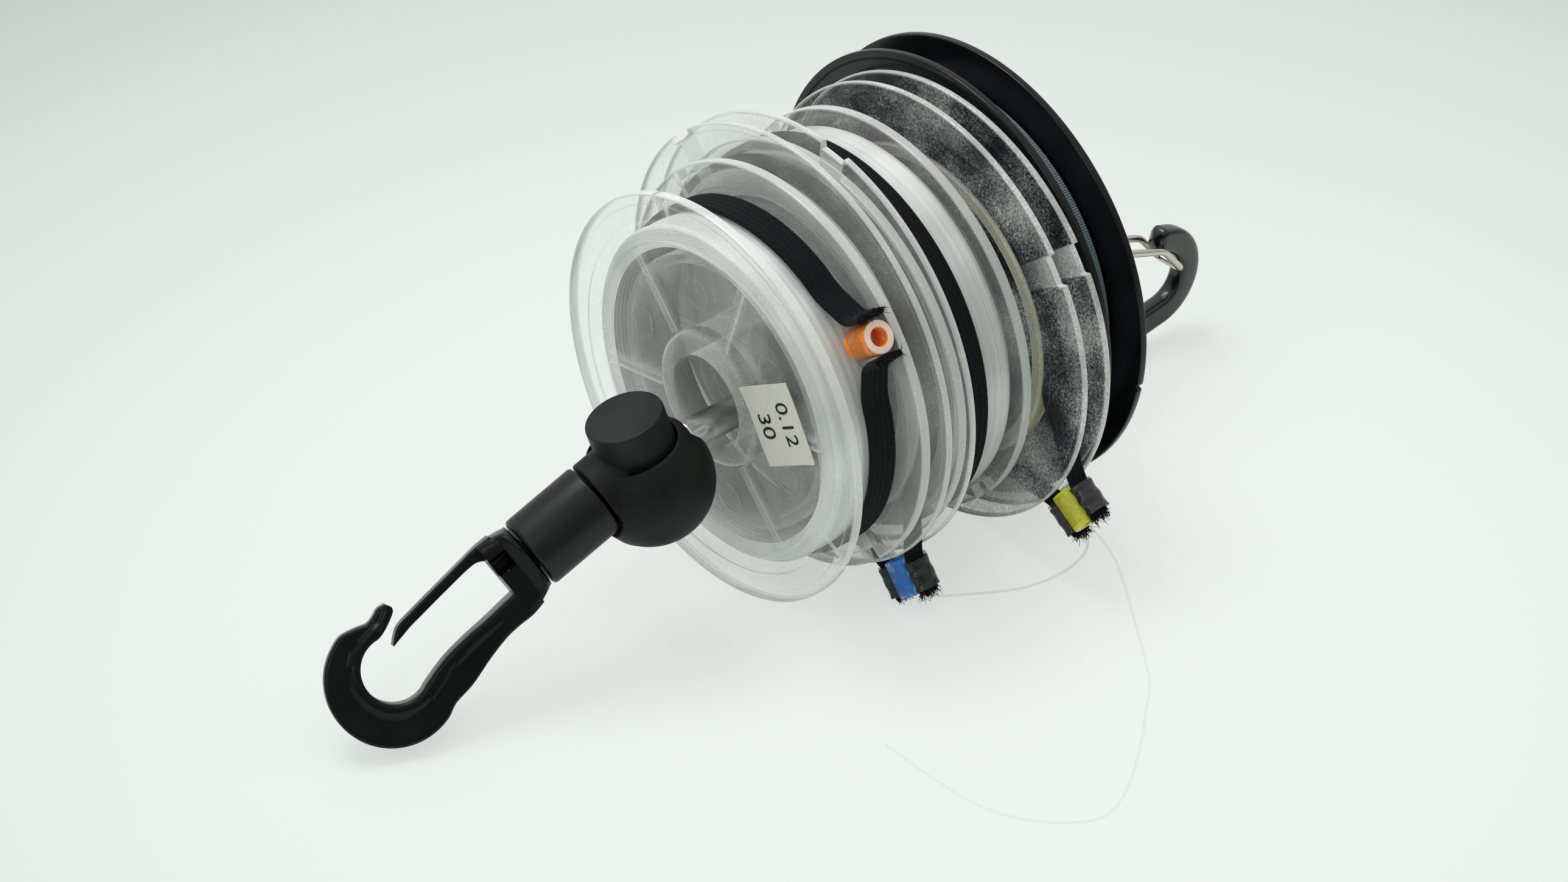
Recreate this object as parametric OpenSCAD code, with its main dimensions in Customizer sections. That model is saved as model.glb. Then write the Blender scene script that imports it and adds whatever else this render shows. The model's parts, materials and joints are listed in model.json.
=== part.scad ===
// Stack of five line spools on a tube spindle, with a cord lock and snap hook at one end
// and a wire-gate carabiner at the other. The stack lies on its side on a flat surface.
// X runs along the spindle towards the carabiner, Z is up, and the surface is at Z = 0.

/* [Standard spools] */
// Rim diameter of the two wide clear spools
small_d = 58; // [54:0.5:61]
// Overall width of a wide clear spool
small_w = 13; // [12:0.5:16]
// Bore through the hub of a wide clear spool
small_bore_d = 13; // [11:0.5:15]
// Outer diameter of the hub of a wide clear spool
small_hub_d = 19; // [18:0.5:22]
// Thickness of the rim of a wide clear spool
small_rim_t = 1.4; // [1.2:0.1:2]

/* [Narrow spools] */
// Rim diameter of the two narrow clear spools
narrow_d = 63; // [62:0.5:66]
// Overall width of a narrow clear spool
narrow_w = 5; // [4.6:0.1:6]
// Bore through the hub of a narrow clear spool
narrow_bore_d = 17; // [16.5:0.5:20]
// Thickness of the rim of a narrow clear spool
narrow_rim_t = 0.9; // [0.7:0.1:1.1]

/* [Black spool] */
// Rim diameter of the black spool
black_d = 64.4; // [63:0.2:68]
// Overall width of the black spool
black_w = 7.6; // [7:0.2:10]
// Thickness of the rim of the black spool
black_rim_t = 1.1; // [0.9:0.1:1.5]

/* [Line and elastic] */
// How full of line each spool is, as a share of the depth from drum to rim, from the hook end
line_fill = [0.375, 0.362, 0.725, 0.171, 0.429];
// Radius of the drum that the line is wound on
drum_r = 21; // [19:0.5:22]
// Thickness of the elastic bands
band_t = 1; // [0.8:0.1:1.2]
// Width of the elastic band on a wide spool
wide_band_w = 4.4; // [3.5:0.1:5]
// Diameter of the coloured line guide tubes
guide_dia = 4.6; // [3.5:0.1:4.8]
// Bore of the coloured line guide tubes
guide_bore_d = 2.4; // [1.5:0.1:2.8]
// Thickness of the clear sleeve round each tab
sleeve_t = 0.3; // [0.25:0.05:0.4]

/* [Spindle] */
// Outer diameter of the spindle tube
tube_d = 4.3; // [4:0.1:5]
// Diameter of the cord through the tube
cord_d = 2.6; // [2:0.1:3]
// Gap between neighbouring spools
spool_gap = 0.4; // [0.3:0.1:0.6]

/* [Cord lock] */
// Diameter of the round lock body
ball_d = 17.4; // [17:0.2:20]
// Diameter of the push button
button_d = 10.6; // [10:0.1:10.8]
// Height of the button's top above the cord
button_h = 7.2; // [7:0.1:8]
// How far the button travels
button_travel = 2.2; // [1:0.1:2.4]
// Droop of the lock below the spindle, in degrees
droop = 24.7; // [20:0.1:28]

/* [Snap hook] */
// Diameter of the swivel barrel
barrel_d = 10.2; // [9.6:0.1:11]
// Length of the swivel barrel
barrel_l = 11; // [10.4:0.1:12]
// Thickness of the hook's plate
hook_t = 3; // [2.6:0.1:3.4]
// Height of the rib round the hook's opening above the plate on each side
rib_h = 0.7; // [0.5:0.1:1]

/* [Carabiner] */
// Width of the carabiner's bar
bar_w = 4; // [3.6:0.1:4.4]
// Thickness of the carabiner's bar
bar_t = 3; // [2.6:0.1:3.2]
// Diameter of the gate wire
wire_d = 1.1; // [0.9:0.1:1.3]

/* [Hidden] */
$fn = 64;
e = 0.01;
// Small clearances: running fits and plain gaps
run = 0.05;
gap = 0.3;

// Rim radii and widths of the spools, named a to e from the hook end
rim_r = [small_d / 2, narrow_d / 2, small_d / 2, narrow_d / 2, black_d / 2];
spool_w = [small_w, narrow_w, small_w, narrow_w, black_w];
bore_r = [small_bore_d, narrow_bore_d, small_bore_d, narrow_bore_d, narrow_bore_d] / 2;
hub_wall = (small_hub_d - small_bore_d) / 2;
rim_t = [small_rim_t, narrow_rim_t, small_rim_t, narrow_rim_t, black_rim_t];
// The spools lie loose on the spindle, so each is a little to one side
spool_y = [1, 0.8, 1.9, -3.6, -1.2];
// How far a wide spool's hub stands out of its faces
hub_rise = spool_gap / 2;
// Extra room behind each spool on top of the common gap
slack = [0, 0, 1, 0.4, 0];
spool_x = [
    0,
    spool_w[0] + spool_gap + slack[0],
    spool_w[0] + spool_w[1] + 2 * spool_gap + slack[0] + slack[1],
    spool_w[0] + spool_w[1] + spool_w[2] + 3 * spool_gap + slack[0] + slack[1] + slack[2],
    spool_w[0] + spool_w[1] + spool_w[2] + spool_w[3] + 4 * spool_gap + slack[0] + slack[1] + slack[2] + slack[3]
];
stack_l = spool_x[4] + spool_w[4];
// Radius of the wound line
line_r = [for (i = [0:4]) drum_r + (rim_r[i] - drum_r) * line_fill[i]];

// Tabs: angle from straight down, towards +Y, length of the guide tube, and where it starts and ends
tab_a = [-127, -38, 60, -56];
guide_l = [4.9, 5.3, 4.9, 5.4];
tab_root_r = [line_r[0] + band_t + gap, rim_r[1] + 0.5, line_r[2] + band_t + gap, rim_r[3] + 0.5];
tab_tip_r = tab_root_r + guide_l;

// Spindle axis
spindle_y = -1;
// Height of the tube over the highest bore's lowest point
spindle_rise = 1.15;
spindle_z = max([for (i = [0:4]) rim_r[i] - bore_r[i]]) + tube_d / 2 + spindle_rise;
// Where the cord bends, inside the lock
bend_x = -12.9;
// The lock is turned a little sideways, and leans to the near side
lock_yaw = 8;
lock_roll = -7.2;
ball_r = ball_d / 2;
// Centre of the ball below the cord axis
ball_drop = 3.5;
// The button leans away from the barrel by this angle
button_lean = 10.9;
tube_tip_x = bend_x + 7;
tube_end_x = stack_l + 3.6;
flex_angle = acos(cos(droop) * cos(lock_yaw));
flex_axis = [0, -sin(droop), -cos(droop) * sin(lock_yaw)];
flex_steps = 4;

// Stations along the lock's own axis, counted from the bend
neck_end = 7.4;
barrel_start = neck_end + 0.4;
barrel_end = barrel_start + barrel_l;
spigot_r = 3;
spigot_lip_r = 3.4;
spigot_end = barrel_start + 5.4;
chamber_r = 3.7;
chamber_start = barrel_start + 3.9;
chamber_end = barrel_end - 3;
stem_r = 2;
stem_head_r = 2.9;
hook_start = barrel_end + 0.4;
// The hook's own drawing starts this far short of the bend
hook_back = 0.8;
hook_root_u = hook_start + hook_back;
hook_roll = -29.8;
seat_r = button_d / 2 + 0.25;
chamber_floor = -7.9;
spring_floor = -9.7;
plunger_bottom = -5.4;
spring_seat = -4.6;
slot_half_w = 2.7;
slot_bottom = -3.9;
slot_top = 4.7;
spring_wire_d = 0.7;
spring_r = 2.6;
spring_pocket_r = spring_r + spring_wire_d / 2 + 0.3;

// Hook outline, along and across the lock's axis
bend_c = [42.2, 0];
bend_in_r = 4.4;
bend_out_c = [43.3, -0.9];
bend_out_r = 8.7;
rib_w = 1.4;
gate_t = 1.3;
gate_root = [22.6, 4.3];
gate_knuckle_r = 1.1;
// Upper and lower edges of the hook's tongue
gate_upper = [[24.6, 5.2], [31.6, 4.65], [37.9, 4.1], [40.4, 2.4]];
gate_lower = [[40, 2.3], [36.7, 2.9], [31.1, 3.4], [25.4, 3.95]];
// Corner and size of the part of the opening's edge that has no rib
bare_corner = [20, 0.5];
bare_size = [6.4, 8];
// Corner and size of the rib on the nose
nose_rib = [37, 3];
nose_rib_size = [5, 3.2];

// Carabiner plane and the two circles of its pear shape, as [x, z] and outer radius
cara_y = 0.5;
nose_c = [84, 11];
nose_r = 8.1;
basket_c = [63.5, 12.9];
basket_r = 12.7;
gate_pivot = [68.2, 22.6];
gate_bend = [83, 17];
gate_tip = [86.9, 12.3];
gate_leg_y = 2.4;
// How far from each corner the gate wire's bend starts
gate_corner = 0.9;

// Cord loop: room inside the ring beyond the bar, and radius of the knot
loop_slack = 2;
knot_r = 2.9;
// How far the washer's edge stands out past the last bore
washer_rim = 4;
// The label's size on the first spool
label_l = rim_r[0] / 3;
label_w = rim_r[0] * 3 / 7;

// Loose line ends: one runs from the second spool's guide, one from the fourth's, down to the surface
strand_dia = 0.3;
strand_b_points = [
    [16.9, -21.2, 3.3], [16.9, -22.2, 2.1], [17.6, -23, 1.4], [19.2, -24, 0.9], [22, -25.5, 0.6],
    [25.5, -27.5, 0.3], [29, -29.2, 0.15], [33, -30.2, 0.15], [37, -30.2, 0.15], [40.5, -29.2, 0.15],
    [43, -27.2, 0.15], [44, -25, 0.15]
];
strand_d_points = [
    [36.1, -32.8, 10.6], [36.1, -34.1, 9.7], [36.4, -36, 8.2], [36.9, -38, 5.9], [36.9, -39.6, 3.4],
    [36.2, -41.6, 1.2], [34.2, -44.8, 0.15], [31, -49.3, 0.15], [27, -54.4, 0.15], [22.3, -58.3, 0.15],
    [18.4, -61.5, 0.15], [12.1, -65.9, 0.15], [6.6, -68.6, 0.15], [2.6, -68.4, 0.15], [-1.9, -64.7, 0.15],
    [-4.6, -60.5, 0.15], [-6, -56, 0.15], [-6.5, -50.9, 0.15], [-6.6, -45.7, 0.15], [-6.6, -40.7, 0.15]
];

// The whole stack is moved so that the middle of its footprint is the origin
place_x = -16.35;
place_y = 2.09;

// ---- placing helpers ----

// Puts a part that is drawn in stack coordinates at the row's origin
module place() {
    translate([place_x, place_y, 0]) children();
}

// Local Z along the spindle, local X down and local Y across, at spool i
module at_spool(i) {
    place() translate([spool_x[i], spool_y[i], rim_r[i]]) rotate([0, 90, 0]) children();
}

// Local -X out along the lock's axis
module at_lock() {
    place() translate([bend_x, spindle_y, spindle_z]) rotate([lock_roll, -droop, -lock_yaw]) children();
}

// Inside the lock: local Z along the button
module at_lean() {
    rotate([0, button_lean, 0]) children();
}

// A cylinder along local -X from station a to station b
module out_rod(r, a, b) {
    translate([-a, 0, 0]) rotate([0, -90, 0]) cylinder(r = r, h = b - a);
}

function unit(v) = v / norm(v);

// A cylinder from one point to another
module rod(a, b, r) {
    d = b - a;
    translate(a) rotate([0, acos(d[2] / norm(d)), atan2(d[1], d[0])]) cylinder(r = r, h = norm(d));
}

// Round tube along the points. The direction up is never along the tube.
module sweep(line, r, sides, up, closed) {
    n = len(line);
    rings = [for (k = [0:n - 1]) let (
            ahead = closed ? line[(k + 1) % n] : line[min(k + 1, n - 1)],
            back = closed ? line[(k + n - 1) % n] : line[max(k - 1, 0)],
            along = unit(ahead - back),
            side = unit(cross(along, up)),
            rise = cross(side, along)
        ) for (q = [0:sides - 1]) line[k] + r * (cos(360 * q / sides) * side + sin(360 * q / sides) * rise)];
    walls = [for (k = [0:closed ? n - 1 : n - 2]) for (q = [0:sides - 1])
        let (m = (k + 1) % n, s = (q + 1) % sides) [sides * k + q, sides * k + s, sides * m + s, sides * m + q]];
    first = [for (q = [sides - 1:-1:0]) q];
    last = [for (q = [0:sides - 1]) sides * (n - 1) + q];
    polyhedron(points = rings, faces = closed ? walls : concat([first], walls, [last]));
}

// ---- spools ----

// Half profile of a wide spool's half: hub, recessed floor, stacking ring and rim
module wide_half(outer_r, bore, hub, rt, drum_out, drum_in, drum_end, hub_end) {
    ring_in = outer_r * 0.765;
    ring_out = outer_r * 0.86;
    floor_z = 1.1;
    floor_t = 0.9;
    rotate_extrude($fn = 128) polygon([
        [bore, -hub_rise], [hub - 0.6, -hub_rise], [hub, 0.2], [hub, floor_z],
        [ring_in, floor_z], [ring_in, 0.1], [ring_in + 0.3, -0.2], [ring_out - 0.3, -0.2], [ring_out, 0.1],
        [ring_out, 0.6], [outer_r - 1.6, 0.6], [outer_r - 1.4, 0],
        [outer_r - 0.3, 0], [outer_r, 0.3], [outer_r, rt - 0.3], [outer_r - 0.3, rt],
        [drum_out, rt], [drum_out, drum_end], [drum_in, drum_end], [drum_in, floor_z + floor_t],
        [hub, floor_z + floor_t], [hub, hub_end], [bore, hub_end]
    ]);
    for (k = [0:5]) {
        rotate([0, 0, 20 + 60 * k]) translate([hub - 0.5, -0.6, 0.2])
            cube([ring_in - hub + 0.8, 1.2, floor_z - 0.1]);
        rotate([0, 0, 50 + 60 * k]) translate([outer_r * 0.525, 0, floor_z - 0.2]) cylinder(r = 2.1, h = 0.4);
    }
}

// A line slot cut in from the rim, at angle a from straight down
module rim_slot(outer_r, a, depth, width, z0, z1) {
    rotate([0, 0, a]) translate([outer_r - depth, -width / 2, z0]) cube([depth + 1, width, z1 - z0]);
}

module wide_front(i, notch_a, notch_b) {
    hub = bore_r[i] + hub_wall;
    difference() {
        wide_half(
            rim_r[i], bore_r[i], hub, rim_t[i], drum_r, drum_r - 1.4, spool_w[i] - rim_t[i], spool_w[i] / 2
        );
        rim_slot(rim_r[i], notch_a, 1.5, 0.7, -1, rim_t[i] + 1);
        rim_slot(rim_r[i], notch_b, 1.5, 0.7, -1, rim_t[i] + 1);
    }
}

module wide_rear(i, clip_a) {
    hub = bore_r[i] + hub_wall;
    sleeve_out = drum_r - 1.4 - run;
    mirrored_end = spool_w[i] - 3;
    difference() {
        translate([0, 0, spool_w[i]]) mirror([0, 0, 1])
            wide_half(
                rim_r[i], bore_r[i], hub, rim_t[i], sleeve_out, sleeve_out - 1.4, mirrored_end, spool_w[i] / 2
            );
        rim_slot(rim_r[i], clip_a, 1.8, 3.4, spool_w[i] - rim_t[i] - 1, spool_w[i] + 1);
        rim_slot(rim_r[i], clip_a + 180, 1.5, 0.7, spool_w[i] - rim_t[i] - 1, spool_w[i] + 1);
    }
    rotate([0, 0, clip_a]) translate([rim_r[i] - 3, -0.5, spool_w[i] - rim_t[i]]) cube([2.6, 1, rim_t[i]]);
}

// Half of a narrow spool: a flat disc with a rim bead and a shallow step, and half of the drum
module narrow_half(i, t, drum_out, drum_in, drum_end, notch_a) {
    outer_r = rim_r[i];
    bore = bore_r[i];
    hub = bore + hub_wall;
    difference() {
        rotate_extrude($fn = 128) polygon([
            [bore, 0], [hub, 0], [hub, 0.2], [outer_r * 0.8, 0.2], [outer_r * 0.8, 0], [outer_r * 0.84, 0],
            [outer_r * 0.84, 0.25], [outer_r - 1.2, 0.25], [outer_r - 1, 0],
            [outer_r - 0.25, 0], [outer_r, 0.25], [outer_r, t - 0.25], [outer_r - 0.25, t],
            [drum_out, t], [drum_out, drum_end], [drum_in, drum_end], [drum_in, t],
            [hub, t], [hub, spool_w[i] / 2], [bore, spool_w[i] / 2]
        ]);
        rim_slot(outer_r, notch_a, 1.1, 4.2, -1, t + 1);
        rim_slot(outer_r, notch_a + 180, 1.5, 0.7, -1, t + 1);
    }
}

module narrow_front(i, notch_a) {
    narrow_half(i, rim_t[i], drum_r, drum_r - 1.2, spool_w[i] - rim_t[i], notch_a);
}

module narrow_rear(i, notch_a) {
    sleeve_out = drum_r - 1.2 - run;
    translate([0, 0, spool_w[i]]) mirror([0, 0, 1])
        narrow_half(i, rim_t[i], sleeve_out, sleeve_out - 1.2, spool_w[i] - rim_t[i] - 0.2, notch_a);
}

// Line wound on the drum, between the flanges
module wound_line(i) {
    z0 = rim_t[i];
    z1 = spool_w[i] - rim_t[i];
    translate([0, 0, z0]) difference() {
        cylinder(r = line_r[i], h = z1 - z0, $fn = 128);
        translate([0, 0, -1]) cylinder(r = drum_r, h = z1 - z0 + 2, $fn = 128);
    }
}

// ---- elastic bands and their tabs ----

// Width of each band, and where its middle lies across its spool
band_w = [
    wide_band_w, narrow_w - 2 * narrow_rim_t - 0.2, wide_band_w,
    narrow_w - 2 * narrow_rim_t - 0.2, black_w - 2 * black_rim_t - 0.4
];
tab_half = max(wide_band_w, guide_dia) / 2 + run + sleeve_t;
band_mid = [
    small_w - small_rim_t - gap - tab_half, narrow_w / 2, small_rim_t + gap + tab_half, narrow_w / 2, black_w / 2
];
tail_gap = guide_dia / 2 + 2 * run;

// The ring of elastic, with a clearance off the line
module band_ring(i) {
    translate([0, 0, band_mid[i] - band_w[i] / 2]) difference() {
        cylinder(r = line_r[i] + run + band_t, h = band_w[i], $fn = 128);
        translate([0, 0, -1]) cylinder(r = line_r[i] + run, h = band_w[i] + 2, $fn = 128);
    }
}

// The two ends of the elastic leave the ring and run out along the guide tube
module band_with_tab(i) {
    w = band_w[i] - 0.2;
    r = line_r[i] + run + band_t / 2;
    tent_r = i == 0 || i == 2 ? tab_root_r[i] + 1.6 : rim_r[i] + 1;
    foot = tail_gap + band_t + (i == 0 || i == 2 ? 4.2 : 6.5);
    union() {
        band_ring(i);
        rotate([0, 0, tab_a[i]]) translate([0, 0, band_mid[i] - w / 2]) for (s = [-1, 1])
            linear_extrude(height = w) polygon([
                [r, s * tail_gap],
                [tab_tip_r[i], s * tail_gap],
                [tab_tip_r[i], s * (tail_gap + band_t)],
                [tent_r, s * (tail_gap + band_t)],
                [sqrt(pow(r + band_t * 0.3, 2) - foot * foot), s * foot],
                [sqrt(pow(r - band_t * 0.1, 2) - foot * foot), s * foot]
            ]);
    }
}

// Coloured tube that the line runs out through
module guide_tube(i) {
    rotate([0, 0, tab_a[i]]) translate([0, 0, band_mid[i]]) rotate([0, 90, 0]) difference() {
        translate([0, 0, tab_root_r[i]]) cylinder(r = guide_dia / 2, h = tab_tip_r[i] - tab_root_r[i]);
        translate([0, 0, tab_root_r[i] - 1]) cylinder(r = guide_bore_d / 2, h = 20);
    }
}

// Clear shrunk sleeve that holds the elastic's ends against the tube
module tab_sleeve(i) {
    in_y = tail_gap + band_t + run;
    in_z = max(band_w[i], guide_dia) / 2 + run;
    r0 = i == 0 || i == 2 ? tab_root_r[i] + 1.7 : tab_root_r[i] + 0.7;
    r1 = tab_tip_r[i] - 0.6;
    rotate([0, 0, tab_a[i]]) translate([r0, 0, band_mid[i]]) difference() {
        translate([0, -in_y - sleeve_t, -in_z - sleeve_t])
            cube([r1 - r0, 2 * (in_y + sleeve_t), 2 * (in_z + sleeve_t)]);
        translate([-1, -in_y, -in_z]) cube([r1 - r0 + 2, 2 * in_y, 2 * in_z]);
    }
}

module spool_a_front() { color([0.9, 0.93, 0.9, 0.4]) at_spool(0) wide_front(0, 161, -63); }
module spool_a_rear() { color([0.9, 0.93, 0.9, 0.4]) at_spool(0) wide_rear(0, -42); }
module spool_a_line() { color("white") at_spool(0) wound_line(0); }
module spool_b_front() { color([0.9, 0.93, 0.9, 0.4]) at_spool(1) narrow_front(1, 139); }
module spool_b_rear() { color([0.9, 0.93, 0.9, 0.4]) at_spool(1) narrow_rear(1, -170); }
module spool_b_line() { color("white") at_spool(1) wound_line(1); }
module spool_c_front() { color([0.9, 0.93, 0.9, 0.4]) at_spool(2) wide_front(2, 120, -60); }
module spool_c_rear() { color([0.9, 0.93, 0.9, 0.4]) at_spool(2) wide_rear(2, -48); }
module spool_c_line() { color("white") at_spool(2) wound_line(2); }
module spool_d_front() { color([0.8, 0.82, 0.8, 0.5]) at_spool(3) narrow_front(3, -124); }
module spool_d_rear() { color([0.8, 0.82, 0.8, 0.5]) at_spool(3) narrow_rear(3, -124); }
module spool_d_line() { color("lightyellow") at_spool(3) wound_line(3); }
module spool_e_front() { color([0.08, 0.08, 0.08]) at_spool(4) narrow_front(4, 100); }
module spool_e_rear() { color([0.08, 0.08, 0.08]) at_spool(4) narrow_rear(4, 100); }
module spool_e_line() { color("gainsboro") at_spool(4) wound_line(4); }

module band_a() { color("black") at_spool(0) band_with_tab(0); }
module band_b() { color("black") at_spool(1) band_with_tab(1); }
module band_c() { color("black") at_spool(2) band_with_tab(2); }
module band_d() { color("black") at_spool(3) band_with_tab(3); }
module band_e() { color("slategray") at_spool(4) band_ring(4); }

module guide_a() { color("darkorange") at_spool(0) guide_tube(0); }
module guide_b() { color("royalblue") at_spool(1) guide_tube(1); }
module guide_c() { color("limegreen") at_spool(2) guide_tube(2); }
module guide_d() { color("yellow") at_spool(3) guide_tube(3); }

module sleeve_a() { color([0.7, 0.7, 0.7, 0.3]) at_spool(0) tab_sleeve(0); }
module sleeve_b() { color([0.7, 0.7, 0.7, 0.3]) at_spool(1) tab_sleeve(1); }
module sleeve_c() { color([0.7, 0.7, 0.7, 0.3]) at_spool(2) tab_sleeve(2); }
module sleeve_d() { color([0.7, 0.7, 0.7, 0.3]) at_spool(3) tab_sleeve(3); }

// ---- loose line ends ----

// A point at fraction u of the way from point k to the next, on a smooth curve through them all
function smooth_point(p, k, u) = let (
        n = len(p) - 1,
        a = p[max(k - 1, 0)],
        b = p[k],
        c = p[min(k + 1, n)],
        d = p[min(k + 2, n)]
    ) 0.5 * (2 * b + (c - a) * u + (2 * a - 5 * b + 4 * c - d) * u * u + (3 * b - a - 3 * c + d) * u * u * u);

// The loose end of a line: a fine tube along its route, with two rings to each step
module strand(p) {
    line = concat([for (k = [0:len(p) - 2]) for (u = [0, 0.5]) smooth_point(p, k, u)], [p[len(p) - 1]]);
    place() sweep(line, strand_dia / 2, 8, [0, 0, 1], false);
}

module strand_b() { color("whitesmoke") strand(strand_b_points); }
module strand_d() { color("whitesmoke") strand(strand_d_points); }

// Paper label on the front face of the first spool, across one spoke
module spool_a_label() {
    color("ivory") at_spool(0) rotate([0, 0, -104]) translate([small_hub_d / 2 + gap, -label_w / 2, -0.02])
        cube([label_l, label_w, 0.2]);
}

// ---- spindle ----

module spindle_tube() {
    color("silver") place() translate([tube_tip_x, spindle_y, spindle_z]) rotate([0, 90, 0]) difference() {
        cylinder(d = tube_d, h = tube_end_x - tube_tip_x);
        translate([0, 0, -1]) cylinder(r = cord_d / 2, h = tube_end_x - tube_tip_x + 2);
    }
}

module spindle_cord() {
    start = bend_x + cord_d / 2 + gap;
    color("dimgray") place() translate([start, spindle_y, spindle_z]) rotate([0, 90, 0])
        cylinder(r = cord_d / 2, h = tube_end_x - start);
}

module rear_washer() {
    color("black") place() translate([stack_l + gap, spindle_y, spindle_z]) rotate([0, 90, 0]) difference() {
        cylinder(r = bore_r[4] + washer_rim, h = 1.6);
        translate([0, 0, -1]) cylinder(d = tube_d, h = 4);
    }
}

// The loop's ring goes round the carabiner's bar, and its knot sits on the tube's mouth
module cord_loop() {
    out_a = 135;
    bar_c = basket_c + (basket_r - bar_w / 2) * [cos(out_a), sin(out_a)];
    ring_r = bar_w / 2 + cord_d / 2 + loop_slack;
    ring_c = bar_c + 0.8 * loop_slack * [cos(out_a), sin(out_a)];
    knot_c = [tube_end_x + knot_r - 0.7, spindle_y + 0.5, spindle_z - 0.5];
    ring_m = [ring_c[0], cara_y, ring_c[1]];
    to_knot = unit([knot_c[0] - ring_m[0], 0, knot_c[2] - ring_m[2]]);
    color("dimgray") place() difference() {
        union() {
            translate(ring_m) rotate([0, 180 - out_a, 0])
                rotate_extrude() translate([ring_r, 0]) circle(r = cord_d / 2, $fn = 24);
            translate(knot_c) rotate([0, 90, 0]) sphere(r = knot_r);
            rod(knot_c, ring_m + ring_r * to_knot, cord_d / 2);
        }
        translate([tube_end_x - 10, spindle_y, spindle_z]) rotate([0, 90, 0]) cylinder(r = 5, h = 10);
    }
}

// ---- cord lock ----

// Cylinders along the spindle, swept through the angles that the lock can swing through
module swing_clearance(r, from, to) {
    place() translate([bend_x, spindle_y, spindle_z])
        for (k = [-1:flex_steps]) rotate(a = flex_angle * k / flex_steps, v = flex_axis)
            translate([from, 0, 0]) rotate([0, 90, 0]) cylinder(r = r, h = to - from);
}

module cord_end() {
    color("dimgray") at_lock() union() {
        sphere(r = cord_d / 2);
        out_rod(cord_d / 2, 0, spigot_end + 0.5);
    }
}

module lock_body() {
    color([0.1, 0.1, 0.1]) difference() {
        at_lock() difference() {
            union() {
                difference() {
                    union() {
                        at_lean() translate([0, 0, -ball_drop]) sphere(r = ball_r, $fn = 96);
                        out_rod(barrel_d / 2 - 0.1, 4, neck_end + 1);
                    }
                    // Seat that takes the barrel's end
                    out_rod(barrel_d / 2 + gap, neck_end, neck_end + 9);
                }
                out_rod(spigot_r, 4, spigot_end);
                out_rod(spigot_lip_r, spigot_end - 1.2, spigot_end);
            }
            at_lean() translate([0, 0, chamber_floor]) cylinder(r = seat_r, h = 30);
            at_lean() translate([0, 0, spring_floor]) cylinder(r = spring_pocket_r, h = 5);
            out_rod(cord_d / 2 + 0.4, -2, spigot_end + 2);
        }
        swing_clearance(tube_d / 2 + 0.35, 4.5, 14);
    }
}

module lock_button() {
    color([0.13, 0.13, 0.13]) at_lock() at_lean() difference() {
        union() {
            translate([0, 0, plunger_bottom]) cylinder(r = button_d / 2, h = button_h - plunger_bottom - 0.4);
            translate([0, 0, button_h - 0.4]) cylinder(r1 = button_d / 2, r2 = button_d / 2 - 0.4, h = 0.4);
        }
        translate([-10, -slot_half_w, slot_bottom]) cube([20, 2 * slot_half_w, slot_top - slot_bottom]);
        translate([0, 0, plunger_bottom - 1]) cylinder(r = spring_pocket_r, h = spring_seat - plunger_bottom + 1);
    }
}

// Coil spring under the plunger, as stacked rings of its wire
module lock_spring() {
    turns = 4;
    bottom = spring_floor + spring_wire_d / 2;
    top = spring_seat - spring_wire_d / 2;
    color("silver") at_lock() at_lean() union() {
        for (k = [0:turns - 1]) translate([0, 0, bottom + (top - bottom) * k / (turns - 1)])
            rotate_extrude() translate([spring_r, 0]) circle(r = spring_wire_d / 2, $fn = 16);
        for (k = [0:2]) rotate([0, 0, 120 * k]) translate([spring_r, 0, bottom])
            cylinder(r = spring_wire_d / 2 - 0.1, h = top - bottom, $fn = 16);
    }
}

module swivel_barrel() {
    color([0.12, 0.12, 0.13]) at_lock() difference() {
        union() {
            out_rod(barrel_d / 2 - 0.3, barrel_start, barrel_end);
            out_rod(barrel_d / 2, barrel_start + 0.3, barrel_end - 0.3);
        }
        out_rod(spigot_r + run, barrel_start - 1, chamber_start + 0.1);
        out_rod(chamber_r, chamber_start, chamber_end);
        out_rod(stem_r + run, chamber_end - 0.1, barrel_end + 1);
    }
}

// ---- snap hook, drawn flat: X is the station along the lock's axis, Y is across ----

module at_hook() {
    at_lock() rotate([hook_roll, 0, 0]) mirror([1, 0, 0]) rotate([90, 0, 0])
        translate([-hook_back, 0, 0]) children();
}

module hook_outline(grow) {
    difference() {
        union() {
            translate(bend_out_c) circle(r = bend_out_r, $fn = 96);
            polygon([
                [hook_root_u, 4.9], [24.2, 5.4], [25.2, 4.2], [26, -2], [42, -2],
                [44, -9.5], [41.2, -9.4], [30.8, -6.7], [27, -5.9], [24.2, -6],
                [hook_root_u + 0.6, -5], [hook_root_u, -4.6]
            ]);
        }
        hook_opening(-grow);
        translate([33, -0.6]) square([12, 18]);
    }
    nose_outline();
}

module hook_opening(shrink) {
    translate(bend_c) circle(r = bend_in_r + shrink, $fn = 64);
    polygon([
        [24.2 - shrink, 3.4 + shrink], [24.2 - shrink, -2.3 - shrink], [33, -2.5 - shrink],
        [40.9, -4.3 - shrink], [42, 0], [42, 3.4 + shrink]
    ]);
}

module nose_outline() {
    difference() {
        union() {
            intersection() {
                translate(bend_out_c) circle(r = bend_out_r, $fn = 96);
                translate([42.6, 2]) square([12, 10]);
            }
            polygon([[37.5, 5.3], [41.4, 3.6], [44.6, 4], [44.4, 6.9], [41, 6.4], [39.6, 7.3], [38, 7.2]]);
        }
        translate(bend_c) circle(r = bend_in_r, $fn = 64);
    }
}

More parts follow.
